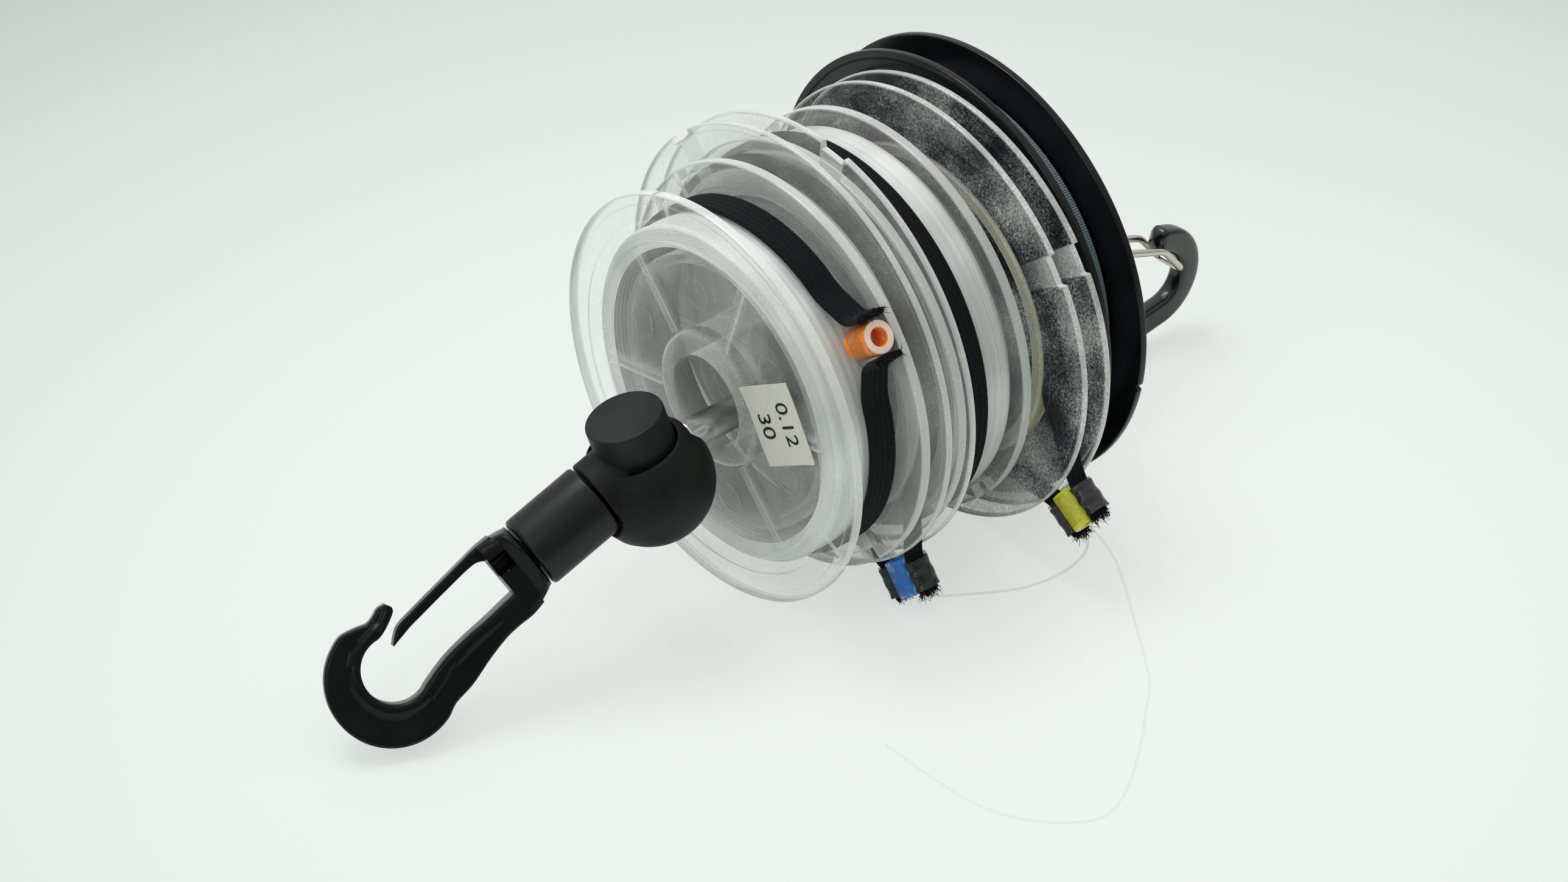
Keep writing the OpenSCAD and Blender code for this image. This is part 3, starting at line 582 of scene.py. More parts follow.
def shrink_film(name, tint):
    """Clear film shrunk over the guide: it can hardly be seen but for its creases, which glint."""
    material, tree, shader = new_material(
        name, IOR=1.5, Base_Color=tint, Roughness=0.12, Specular_IOR_Level=1.0)
    bent = bump(tree, shader, noise(tree, mapped(tree), 0.9, 3, 0.6, 0.8), 0.25, 0.7)
    see_through(tree, shader, ramp(tree, facing(tree, Normal=bent), (0.2, 0.05), (0.6, 0.22), (0.95, 0.7)))
    return material


def creased_film(name, tint):
    """Black film shrunk hard over the elastic: glossy and finely creased, with small pale flecks that
    are painted glints.
    """
    material, tree, shader = new_material(name, IOR=1.5, Roughness=0.14, Specular_IOR_Level=0.7)
    where = mapped(tree)
    painted_glint = noise(tree, where, 0.45, 4, 0.75)
    # Painted glints: small pale flecks on the black film
    vary(tree, shader, "Base Color", painted_glint, (0.7, tint), (0.78, linear("#6F777B")))
    bump(tree, shader, noise(tree, where, 0.6, 4, 0.65, 0.6), 0.2, 0.6)
    return material


def fine_line(name):
    """Clear nylon line: glassy, nearly colourless and mostly see-through."""
    material, tree, shader = new_material(name, IOR=1.53, Roughness=0.15, Base_Color=linear("#EEF2EE"))
    # Painted reflection: the pale line hides more of what is behind it where it's seen aslant
    see_through(tree, shader, ramp(tree, facing(tree), (0.2, 0.16), (0.95, 0.45)))
    bump(tree, shader, noise(tree, mapped(tree), 3, 1), 0.01, 0.2)
    return material


def floor_paper(near, far):
    """Matt paper whose colour darkens away from the row, a painted falloff of the light. Two thirds of
    what the camera sees is its own plain colour and the rest is lit paper, so that shadows on it stay pale."""
    material, tree, shader = new_material("floor_paper", Roughness=0.9, Specular_IOR_Level=0.1)
    where = node(tree, "TexCoord").outputs["Object"]
    where = node(tree, "Mapping", {"Vector": where, "Location": (0, 0.02, 0)}).outputs["Vector"]
    reach = node(tree, "VectorMath", {0: where, 1: where}, operation="DOT_PRODUCT").outputs["Value"]
    # Painted falloff of the light: the colour runs from near to far with the squared distance from the row
    paper = ramp(tree, calc(tree, "MULTIPLY", reach, 1 / 0.06), (0, near), (1, far))
    tree.links.new(paper, shader.inputs["Base Color"])
    plain = node(tree, "Emission", {"Color": paper, "Strength": 1.0}).outputs["Emission"]
    share = calc(tree, "MULTIPLY", node(tree, "LightPath").outputs["Is Camera Ray"], 0.65)
    both = node(tree, "MixShader", {0: share, 1: shader.outputs["BSDF"], 2: plain}).outputs["Shader"]
    tree.links.new(both, tree.nodes["Material Output"].inputs["Surface"])
    return material


# ---- sizes and colours that a user may change ----


def swatch(name, description, code):
    """A colour setting that starts at an sRGB hex colour."""
    return FloatVectorProperty(name=name, description=description, subtype="COLOR", size=3, min=0, max=1,
                               default=linear(code)[:3])


def measure(name, description, millimetres):
    """A length setting that starts at a number of millimetres."""
    return FloatProperty(name=name, description=description, default=millimetres * MM, min=0, unit="LENGTH")


class StageSettings(bpy.types.PropertyGroup):
    """Floor, lamps and camera."""

    floor_colour: swatch("Floor Colour", "Colour of the floor under the row", "#F2F7F3")
    # Colour the floor darkens to away from the row: a painted falloff of the light
    floor_painted_falloff: swatch("Floor Edge", "Colour of the floor a quarter metre away", "#BDC7BE")
    sky_strength: FloatProperty(name="Sky Strength", description="Strength of the even light from all sides",
                                default=0.78, min=0, max=3)
    key_power: FloatProperty(
        name="Lamp Power", description="Power of the fill lamp, and a third of the key lamp's",
        default=1.6, min=0, unit="POWER")
    lens: FloatProperty(name="Lens", description="Focal length for a 36 mm sensor, in millimetres",
                        default=85.09, min=20, max=300)


class SpoolSettings(bpy.types.PropertyGroup):
    """Clear and black spools."""

    edge: measure("Edge Rounding", "How far a narrow rim's rounding starts from its edge", 0.35)
    recess: measure("Recess", "Depth of the wide spools' floor below the stacking ring", 1.3)
    spoke: measure("Spoke Width", "Width of the wide spools' spokes", 1.9)
    mark: measure("Pin Mark Radius", "Radius of the round marks left by the mould's pins", 2.1)
    clear: swatch("Clear", "Tint of the clear plastic", "#F6F9F5")
    black: swatch("Black", "Colour of the black spool", "#0B0C0D")
    line: swatch("Line", "Colour of the wound line", "#F4F5F2")


class ElasticSettings(bpy.types.PropertyGroup):
    """Elastic bands, their line guides and sleeves."""

    thickness: measure("Thickness", "Thickness of the elastic", 1.0)
    ribs: measure("Rib Width", "Width of one rib of the elastic", 0.85)
    black: swatch("Black", "Colour of the black elastic", "#08080A")
    slate: swatch("Slate", "Colour of the last spool's band", "#5F7078")
    orange: swatch("Orange", "First line guide", "#FF8A1F")
    blue: swatch("Blue", "Second line guide", "#2F86E4")
    green: swatch("Green", "Third line guide", "#45A84B")
    yellow: swatch("Yellow", "Fourth line guide", "#E6E01E")


class HardwareSettings(bpy.types.PropertyGroup):
    """Spindle, cord lock and carabiner."""

    black: swatch("Black", "Colour of the lock and the swivel barrel", "#0C0E0E")
    steel: swatch("Steel", "Colour of the spindle", "#D3D6D6")
    gunmetal: swatch("Gunmetal", "Colour of the carabiner", "#141818")


class HolderSettings(bpy.types.PropertyGroup):
    """Everything that the panel shows."""

    stage: PointerProperty(type=StageSettings)
    spools: PointerProperty(type=SpoolSettings)
    elastic: PointerProperty(type=ElasticSettings)
    hardware: PointerProperty(type=HardwareSettings)


# ---- spools ----

# Radii in millimetres of the bore and hub, of the drum's outside and inside on the front half, and
# of the same on the rear half, which slides into it
WIDE_BORE, WIDE_HUB, WIDE_DRUMS = 6.5, 9.5, ((21, 19.6), (19.5, 18.1))
NARROW_BORE, NARROW_HUB, NARROW_DRUMS = 8.5, 11.5, ((21, 19.8), (19.8, 18.6))
# The wide spools' stacking ring, as shares of the rim radius
RING_IN, RING_OUT = 0.765, 0.86
# Spokes and round pin marks on a wide spool's floor: first angle in degrees; six of each, evenly
FIRST_SPOKE, FIRST_MARK, MARKS_AT = 20, 50, 0.525
# Width and depth of the notches in the rims: slots that hold the line, and wider finger notches
SLOT = (0.7 * MM, 1.5 * MM)
NARROW_NOTCH = (4.2 * MM, 1.1 * MM)


def turns_with(base, dense):
    """Angles round a rim: base of them evenly, and closer ones in each (degrees, half width, step)."""
    angles = [np.linspace(0, 360, base, endpoint=False)]
    for middle, half, gap in dense:
        angles.append((middle + np.arange(-half, half + gap / 2, gap)) % 360)
    return np.radians(np.unique(np.concatenate(angles).round(3)))


def rim_floor(angle, spool, cuts, inside, outside):
    """The rim's radius at each angle, less the depth of each notch. A notch's wall rises between
    these two distances past half its width. cuts are (degrees, (width, depth))."""
    floor = np.full(angle.shape, spool.rim)
    for degrees, (width, depth) in cuts:
        off = np.abs(turn_from(angle, degrees)) * spool.rim
        floor -= depth * (1 - step(off, width / 2 + inside, width / 2 + outside))
    return floor


def disc(profile, spool, rear, base, dense, cuts, shape=None):
    """A spool's closed profile of (distance from the front plane, radius) carried round its centre
    line, with notches. The rear half is turned to face backwards."""
    dense = dense + [(degrees, 1.2 + cut[0] / spool.rim * 28.7, 0.35) for degrees, cut in cuts]
    angles = turns_with(base, dense)
    angle = np.repeat(angles[None, :], len(profile), 0)
    along, radius = columns(profile, len(angles))
    if shape is not None:
        along = shape(along, radius, angle)
    radius = np.minimum(radius, rim_floor(angle, spool, cuts, -0.12 * MM, 0.12 * MM))
    x = spool.x + (spool.width - along if rear else along)
    return np.stack([x, spool.y + radius * np.sin(angle), spool.z - radius * np.cos(angle)], -1)


def wide_half(spool, settings, rear, cuts):
    """Half of a wide spool: hub, recessed floor with spokes and pin marks, stacking ring, flange
    and drum."""
    r, t, w, recess = (value / MM for value in (spool.rim, spool.flange, spool.width, settings.recess))
    rise, bore, hub, inner, outer = HUB_RISE / MM, WIDE_BORE, WIDE_HUB, r * RING_IN, r * RING_OUT
    drum_out, drum_in = WIDE_DRUMS[rear]
    drum_end = w - 3 if rear else w - t
    front = [[-rise, bore], [-rise, hub - 0.6], [0.2, hub], [recess, hub + 0.15]]
    rest = [
        [recess, inner - 0.15], [0.1, inner], [-0.25, inner + 0.35], [-0.25, outer - 0.35], [0.1, outer],
        [0.55, outer + 0.15], [0.55, r - 1.7], [0, r - 1.4], [0, r - 0.5], [0, r], [t, r], [t, r - 0.5],
        [t, drum_out + 0.05], [drum_end, drum_out], [drum_end, drum_in], [recess + 1.0, drum_in],
        [recess + 1.0, hub + 0.1], [w / 2, hub], [w / 2, bore],
    ]
    corner_steps = 3
    soft = soften(np.array(front + rest), 0.28, corner_steps)
    # The floor needs rows of its own, which the spokes are raised from
    rows = np.linspace(hub + 0.5, inner - 0.5, 46)
    split = (corner_steps + 1) * len(front)
    floor = np.stack([np.full(len(rows), recess), rows], -1)
    profile = np.concatenate([soft[:split], floor, soft[split:]]) * MM
    sixth = TAU / 6

    def relief(along, radius, angle):
        """Raises the spokes, each with a shallow trough along its top, and the round marks."""
        nearest = (angle - math.radians(FIRST_SPOKE) + sixth / 2) % sixth - sixth / 2
        off = np.abs(radius * np.sin(nearest))
        half = settings.spoke / 2
        spoke = 1 - step(off, half - 0.2 * MM, half + 0.25 * MM)
        spoke = spoke * (1 - 0.22 * (1 - step(off, 0.1 * MM, half - 0.15 * MM)))
        middle = (angle - math.radians(FIRST_MARK) + sixth / 2) % sixth - sixth / 2
        away = np.hypot(radius * np.cos(middle) - spool.rim * MARKS_AT, radius * np.sin(middle))
        mark = 0.16 * MM * (1 - step(np.abs(away - settings.mark), 0.05 * MM, 0.25 * MM))
        on_floor = np.abs(along - settings.recess) < 0.02 * MM
        on_floor &= (radius > (hub + 0.2) * MM) & (radius < (inner - 0.2) * MM)
        return along - np.where(on_floor, spoke * (settings.recess - 0.25 * MM) + mark, 0)

    dense = [(FIRST_SPOKE + 60 * k, 7, 0.45) for k in range(6)]
    dense += [(FIRST_MARK + 60 * k, 9, 0.9) for k in range(6)]
    return disc(profile, spool, rear, 160, dense, cuts, relief)


def narrow_half(spool, settings, rear, cuts):
    """A narrow spool's half: a flat flange with a rim bead and a shallow step, and its drum."""
    r, t, w = spool.rim / MM, spool.flange / MM, spool.width / MM
    hub, ledge = NARROW_HUB, r * 0.8
    out, inner = NARROW_DRUMS[rear]
    end = w - t - (0.2 if rear else 0)
    points = [
        [0, NARROW_BORE], [0, hub], [0.2, hub + 0.15], [0.2, ledge], [0, ledge + 0.15], [0, r * 0.84],
        [0.25, r * 0.84 + 0.15], [0.25, r - 1.2], [0, r - 1], [0, r - 0.5], [0, r], [t, r], [t, r - 0.5],
        [t, out + 0.05], [end, out], [end, inner], [t, inner - 0.05], [t, hub + 0.05],
        [w / 2, hub], [w / 2, NARROW_BORE],
    ]
    profile = soften(np.array(points), settings.edge / MM, 4) * MM
    return disc(profile, spool, rear, 240, [], cuts)


def mark_painted_highlights(mesh, spool, rear, cuts):
    """Stores on each vertex how white its edge is, a painted highlight: all of it on the rim's corners
    and round the notches, and a third of it on the hub and spokes that stand up from a wide spool's floor."""
    co = vertex_points(mesh)
    radius = np.hypot(co[:, 1] - spool.y, co[:, 2] - spool.z)
    angle = np.arctan2(co[:, 1] - spool.y, spool.z - co[:, 2])
    rim = rim_floor(angle, spool, cuts, 0, 0.3 * MM)
    edge = step(radius, rim - 0.45 * MM, rim - 0.15 * MM)
    if spool.letter in "ac":
        along = spool.x + spool.width - co[:, 0] if rear else co[:, 0] - spool.x
        raised = (1 - step(along, 0.2 * MM, 1.1 * MM)) * (radius < spool.rim * RING_IN)
        edge = np.maximum(edge, 0.33 * raised)
    mesh.attributes.new("edge", "FLOAT", "POINT").data.foreach_set("value", edge.astype(np.float32))


def vertex_points(mesh):
    """The places of a mesh's vertices."""
    co = np.empty(len(mesh.vertices) * 3, np.float32)
    mesh.vertices.foreach_get("co", co)
    return co.reshape(-1, 3)


def build_spool(letter, shape, settings, material, notches):
    """Makes both halves of a spool. notches holds the front half's cuts and the rear half's."""
    spool = SPOOLS[letter]
    for half, rear, cuts in (("front", False, notches[0]), ("rear", True, notches[1])):
        points = shape(spool, settings, rear, cuts)
        piece = add_piece(f"{letter}_{half}_half", [(points, True, True)], 30, material, spool.body,
                          [f"spool_{letter}_{half}"])
        mark_painted_highlights(piece.data, spool, rear, cuts)


class SPOOLHOLDER_OT_wide_spools(bpy.types.Operator):
    """Moulds the two wide clear spools"""

    bl_idname = "spoolholder.wide_spools"
    bl_label = "Wide Spools"

    def execute(self, context):
        settings = context.scene.spool_holder.spools
        clear = clear_styrene("clear_polystyrene", colour(settings.clear), 0.13, 0.1)
        for letter, notches in (
            ("a", ([(161, SLOT), (-63, SLOT)], [(138, SLOT), (-42, (3.3 * MM, 1.8 * MM))])),
            ("c", ([(120, SLOT), (-60, SLOT)], [(132, SLOT), (-48, (3.4 * MM, 1.8 * MM))])),
        ):
            build_spool(letter, wide_half, settings, clear, notches)
        return {"FINISHED"}


class SPOOLHOLDER_OT_narrow_spools(bpy.types.Operator):
    """Moulds the two narrow clear spools, the second one scuffed"""

    bl_idname = "spoolholder.narrow_spools"
    bl_label = "Narrow Spools"

    def execute(self, context):
        settings = context.scene.spool_holder.spools
        clear = clear_styrene("clear_polystyrene_narrow", colour(settings.clear), 0.15, 0.12)
        scuffed = clear_styrene("scuffed_polystyrene", linear("#7F8A8C"), 0.03, 0.55, 16)
        b_notches = ([(139, NARROW_NOTCH), (-41, SLOT)], [(-170, NARROW_NOTCH), (10, SLOT)])
        d_notches = ([(-124, NARROW_NOTCH), (56, SLOT)],) * 2
        build_spool("b", narrow_half, settings, clear, b_notches)
        build_spool("d", narrow_half, settings, scuffed, d_notches)
        return {"FINISHED"}


class SPOOLHOLDER_OT_black_spool(bpy.types.Operator):
    """Moulds the black spool"""

    bl_idname = "spoolholder.black_spool"
    bl_label = "Black Spool"

    def execute(self, context):
        settings = context.scene.spool_holder.spools
        black = moulded_plastic("black_polystyrene", colour(settings.black), 0.22, 0.4, 0.006)
        notches = ([(100, NARROW_NOTCH), (-80, SLOT)],) * 2
        build_spool("e", narrow_half, settings, black, notches)
        return {"FINISHED"}


class SPOOLHOLDER_OT_wound_line(bpy.types.Operator):
    """Winds the line on all five drums"""

    bl_idname = "spoolholder.wound_line"
    bl_label = "Wound Line"

    def execute(self, context):
        settings = context.scene.spool_holder.spools
        white = wound_nylon("wound_nylon", colour(settings.line), 0.3)
        yellow = wound_nylon("wound_yellow_nylon", linear("#E8E4C4"), 0.3)
        drum = 21.02 * MM
        turns = 256
        for letter, spool in SPOOLS.items():
            # The winding is level, with a slow waviness of about 0.1 mm, and rounded at its sides
            x = np.linspace(spool.line_x[0] + 0.03 * MM, spool.line_x[1] - 0.03 * MM, 40)
            wave = 0.06 * MM * np.sin(x / MM * 2.1) + 0.04 * MM * np.sin(x / MM * 5.3 + 1)
            side = np.minimum(x - x[0], x[-1] - x)
            top = spool.line - 0.1 * MM + wave - 0.3 * MM * (1 - step(side, 0, 0.5 * MM))
            top = np.minimum(top, spool.line)
            profile = np.concatenate([[[x[0], drum]], np.stack([x, top], -1), [[x[-1], drum]]])
            points = spin(profile, (0, spool.y, spool.z), ALONG, -UP, turns)
            around = np.arange(turns) * TAU / turns * spool.line
            look, slot = (yellow, "line_yellow") if letter == "d" else (white, "line_white")
            piece = add_piece(f"{letter}_wound_line", [(points, True, True)], 40, look, spool.body,
                              [f"spool_{letter}_line"], [(past_ends(x, 3 * MM), around)])
            # The pattern's first axis runs round the drum
            layer = piece.data.uv_layers[0].uv
            uv = np.empty(len(layer) * 2, np.float32)
            layer.foreach_get("vector", uv)
            layer.foreach_set("vector", uv.reshape(-1, 2)[:, ::-1].ravel())
        return {"FINISHED"}


# ---- elastic bands and line guides ----

# For each banded spool: angle of its tab from straight down towards +Y, where the elastic leaves the
# ring and where it turns along the guide, both in millimetres from the tab's middle and foot
TABS = {"a": (-127, 7.1, 1.6), "b": (-38, 9.4, 1.0), "c": (60, 7.1, 1.6), "d": (-56, 9.4, 1.0)}
# For each: the guide's colour name, its rubbed tint and its cut end's tint
GUIDES = {
    "a": ("orange", "#FFB98A", "#FFE3D6"), "b": ("blue", "#9FC0E6", "#A9C8EE"),
    "c": ("green", "#9BD39A", "#A5D8A8"), "d": ("yellow", "#F0EE7A", "#F0EE9A"),
}
GUIDE_BORE = 1.2 * MM
# Gap between a tail of elastic and the guide, room of the sleeve round them, and its wall
TAIL_GAP, SLEEVE_ROOM, SLEEVE_WALL = 0.1 * MM, 0.4 * MM, 0.16 * MM


def outward_axes(degrees):
    """Directions out from a spool's centre line at an angle from straight down, and square to it."""
    a = math.radians(degrees)
    return np.array([0, math.sin(a), -math.cos(a)]), np.array([0, math.cos(a), math.sin(a)])


class Tab:
    """One line guide's place: its own outward direction, and its root and tip radius."""

    def __init__(self, letter):
        spool = SPOOLS[letter]
        degrees, foot, rise = TABS[letter]
        self.foot = foot * MM
        self.centre = np.array([0, spool.y, spool.z])
        self.out, self.along = outward_axes(degrees)
        low, high = span(f"guide_{letter}")
        self.x = (low[0] + high[0]) / 2
        self.radius = (high[0] - low[0]) / 2
        # The box of a tube of this radius and slant gives back the two ends of its axis
        size_y = (high[1] - low[1] - 2 * self.radius * abs(self.along[1])) / abs(self.out[1])
        middle = (np.array([self.x, *(low + high)[1:] / 2]) - self.centre) @ self.out
        self.root, self.tip = middle - size_y / 2, middle + size_y / 2
        self.turn = (self.root if letter in "ac" else spool.rim) + rise * MM
        self.ring = spool.line + 0.05 * MM

    def at(self, r, s, x=0.0):
        """Points at radius r along the tab, s to its side, and x along the spindle from its middle."""
        r, s, x = (value[..., None] for value in np.broadcast_arrays(np.asarray(r, float), s, x))
        return self.centre + r * self.out + s * self.along + (self.x + x) * ALONG


def ribbed(width, thickness, rib, fine=8):
    """Outline of an elastic strip's cut end: round ribs on the outer face, a flat inner face."""
    count = max(2, round(width / rib))
    y = np.linspace(-width / 2, width / 2, count * fine + 1)
    wave = np.abs(np.sin((y / width + 0.5) * math.pi * count)) ** 0.6
    edge = np.sqrt(np.clip(1 - (np.abs(y) / (width / 2)) ** 8, 0, 1))
    outer = (thickness / 2 - 0.16 * MM + 0.16 * MM * wave) * edge
    inner = -(thickness / 2 - 0.05 * MM) * edge
    return np.concatenate([np.stack([outer, y], -1), np.stack([inner, y], -1)[::-2]])


def elastic_strip(letter, path, section, material, closed=False, extra=()):
    """A band: a section carried along a path, with a pattern that follows its length, and any
    loose fibres."""
    length = distances(path)
    if not closed:
        length = past_ends(length, 0.1 * MM)
    grids = [(tube(path, section, ALONG, closed), closed, True), *extra]
    uvs = [(length, distances(section))] + [even_uv(grid[0], 0.2 * MM, 0.2 * MM) for grid in extra]
    add_piece(f"{letter}_elastic_band", grids, 50, material, f"band_{letter}", [f"band_{letter}"], uvs)


def frayed(root, direction, spread, count, length, seed):
    """Short loose fibres: thin three-sided spikes that start within spread of root and lean at
    random about the direction. Each is a grid of rings along a slightly curled line."""
    random = np.random.default_rng(seed)
    starts = root + random.normal(0, 0.5, (count, 3)) * spread
    leans = unit(direction) + random.normal(0, 0.55, (count, 3))
    leans /= np.linalg.norm(leans, axis=1, keepdims=True)
    reach = length * random.uniform(0.35, 1, count)
    curl = random.normal(0, 0.35, (count, 3))
    t = np.linspace(0, 1, 5)
    thin = 0.075 * MM * (1 - 0.7 * t)
    t = t[:, None]
    # The fibres' own up direction is one that none of them is likely to lean along
    slanted = (0.31, 0.57, 0.76)
    hairs = zip(starts, leans, reach, curl)
    paths = (start + far * (t * lean + t**2 * bend) for start, lean, far, bend in hairs)
    return [(tube(path, ring(1, 3), slanted, scale=thin), False, True) for path in paths]


def band_path(tab, thickness):
    """Middle line of a band: out from one tail's tip, across to the ring, all the way round it and
    back out along the other tail. Its corners are rounded by short parabolas."""
    middle = tab.ring + thickness / 2
    aside = tab.radius + TAIL_GAP + thickness / 2
    leave = math.asin(tab.foot / middle)
    angle = np.linspace(leave, TAU - leave, 200)
    ring_part = np.stack([middle * np.cos(angle), middle * np.sin(angle)], -1)
    tail = np.array([[tab.tip + 0.1 * MM, aside], [tab.turn, aside]])
    path = np.concatenate([tail, ring_part, tail[::-1] * [1, -1]])
    radius = np.full(len(path), 0.0002 * MM)
    radius[1] = radius[-2] = 1.3 * MM
    radius[2] = radius[-3] = 1.6 * MM
    # The ring's own points nearest the foot would stop that corner short, so they are left out
    keep = np.ones(len(path), bool)
    keep[3:6] = keep[-6:-3] = False
    path, _ = even(soften(path[keep], radius[keep], 6, False), 0.55 * MM)
    return tab.at(path[:, 0], path[:, 1])


class SPOOLHOLDER_OT_elastic(bpy.types.Operator):
    """Wraps the elastic bands round the line, with their tails along the guides"""

    bl_idname = "spoolholder.elastic"
    bl_label = "Elastic Bands"

    def execute(self, context):
        settings = context.scene.spool_holder.elastic
        thickness = settings.thickness
        black = woven_elastic("woven_elastic", colour(settings.black), linear("#1B1B1E"), settings.ribs)
        slate = woven_elastic("slate_elastic", colour(settings.slate), linear("#A3B3BA"), settings.ribs)
        tufts, fibres = 5, 22
        for letter in TABS:
            tab = Tab(letter)
            low, high = span(f"band_{letter}")
            width = high[0] - low[0]
            path = band_path(tab, thickness)
            hairs = []
            for k, end in enumerate((path[0], path[-1])):
                for j, x in enumerate(np.linspace(-0.4, 0.4, tufts) * width):
                    seed = ord(letter) * 10 + k * tufts + j
                    hairs += frayed(end + x * ALONG, tab.out, 0.36 * MM, fibres, 1.1 * MM, seed)
            section = ribbed(width, thickness, settings.ribs)
            elastic_strip(letter, path, section, black, extra=hairs)
        # The last spool's band has finer ribs and no guide
        spool = SPOOLS["e"]
        low, high = span("band_e")
        middle = (high[2] - low[2]) / 2 - thickness / 2
        circle = ring(middle, 300)
        x = np.full(300, (low[0] + high[0]) / 2)
        path = np.stack([x, spool.y + circle[:, 1], spool.z - circle[:, 0]], -1)
        section = ribbed(high[0] - low[0], thickness, 0.55 * MM, 6)
        elastic_strip("e", path, section, slate, closed=True)
        return {"FINISHED"}


def sleeve_sheets(tab, letter, settings):
    """A sleeve's outer and inner face as one grid: a rounded box round the tube and both tails,
    with faint wrinkles."""
    low, high = span(f"sleeve_{letter}")
    half_x = min((high[0] - low[0]) / 2 - 0.02 * MM, tab.radius + SLEEVE_ROOM)
    half_s = tab.radius + settings.thickness + SLEEVE_ROOM
    phase = np.random.default_rng(ord(letter)).uniform(0, 6)
    angle = np.linspace(0, TAU, 72, endpoint=False)
    r = np.linspace(tab.turn - 0.1 * MM, tab.tip - 0.55 * MM, 14)[:, None]
    box = boxy(angle)
    wrinkle = 0.07 * MM * np.sin(angle * 9 + phase) * np.sin(r / MM * 2.3 + 1)
    sheets = []
    for shrink in (0.08 * MM, 0.08 * MM + SLEEVE_WALL):
        s = box[:, 0] * (half_s - shrink + wrinkle)
        x = box[:, 1] * (half_x - shrink + wrinkle * 0.4)
        sheets.append(tab.at(r, s, x))
    return np.concatenate([sheets[0], sheets[1][::-1]])


class SPOOLHOLDER_OT_guides(bpy.types.Operator):
    """Cuts the four coloured guide tubes and shrinks their sleeves on"""

    bl_idname = "spoolholder.guides"
    bl_label = "Line Guides"

    def execute(self, context):
        settings = context.scene.spool_holder.elastic
        film = shrink_film("clear_shrink_film", linear("#2B2F31"))
        tail_film = creased_film("black_tail_film", linear("#050607"))
        for letter, (name, wear_and_painted_highlight, cut_tint) in GUIDES.items():
            tab = Tab(letter)
            band = f"band_{letter}"

            def hand_cut(along, radius, angle):
                """The outer end was cut a little aslant, and the tube is very slightly oval."""
                outward = step(along, tab.tip - 1.2 * MM, tab.tip)
                aslant = outward * 0.12 * MM * (1 + np.cos(angle)) * 0.5
                return along - aslant, radius * (1 + 0.012 * np.cos(2 * angle))

            def turned_part(profile):
                """A profile carried round the tab's own axis."""
                return [(spin(profile, tab.at(0, 0), tab.out, ALONG, 64, hand_cut), True, True)]

            vinyl = soft_tube(f"{name}_vinyl_tube", colour(getattr(settings, name)), linear(wear_and_painted_highlight))
            wall = box_profile(tab.root, tab.tip, GUIDE_BORE, tab.radius)
            wall = soften(wall, np.array([0.12, 0.2, 0.25, 0.15]) * MM, 4)
            add_piece(f"{name}_line_guide", turned_part(wall), 40, vinyl, band, [f"guide_{letter}"])
            # The knife left the tube's outer end pale: a ring 0.05 mm thick, just proud of it
            pale, _, _ = new_material(f"{name}_cut_vinyl", Roughness=0.6, Base_Color=linear(cut_tint))
            inner, outer = GUIDE_BORE + 0.12 * MM, tab.radius - 0.12 * MM
            cut = box_profile(tab.tip - 0.03 * MM, tab.tip + 0.02 * MM, inner, outer)
            add_piece(f"{name}_cut_face", turned_part(cut), 40, pale, band)
            sleeve = [(sleeve_sheets(tab, letter, settings), True, True)]
            add_piece(f"{name}_sleeve", sleeve, 50, film, band, [f"sleeve_{letter}"])
            # On the narrow spools' bands, black film has also shrunk tight round each tail
            if letter in "bd":
                r = np.linspace(tab.turn + 0.3 * MM, tab.tip - 0.35 * MM, 16)
                aside = tab.radius + settings.thickness / 2 + SLEEVE_ROOM
                swell = 1 + 0.05 * np.sin(r / MM * 3.1)
                section = ring(1.1 * MM, 32, 1.65)
                tails = (tube(tab.at(r, side), section, ALONG, scale=swell) for side in (aside, -aside))
                tails = [(tail, False, True) for tail in tails]
                add_piece(f"{name}_tail_film", tails, 50, tail_film, band)
        return {"FINISHED"}


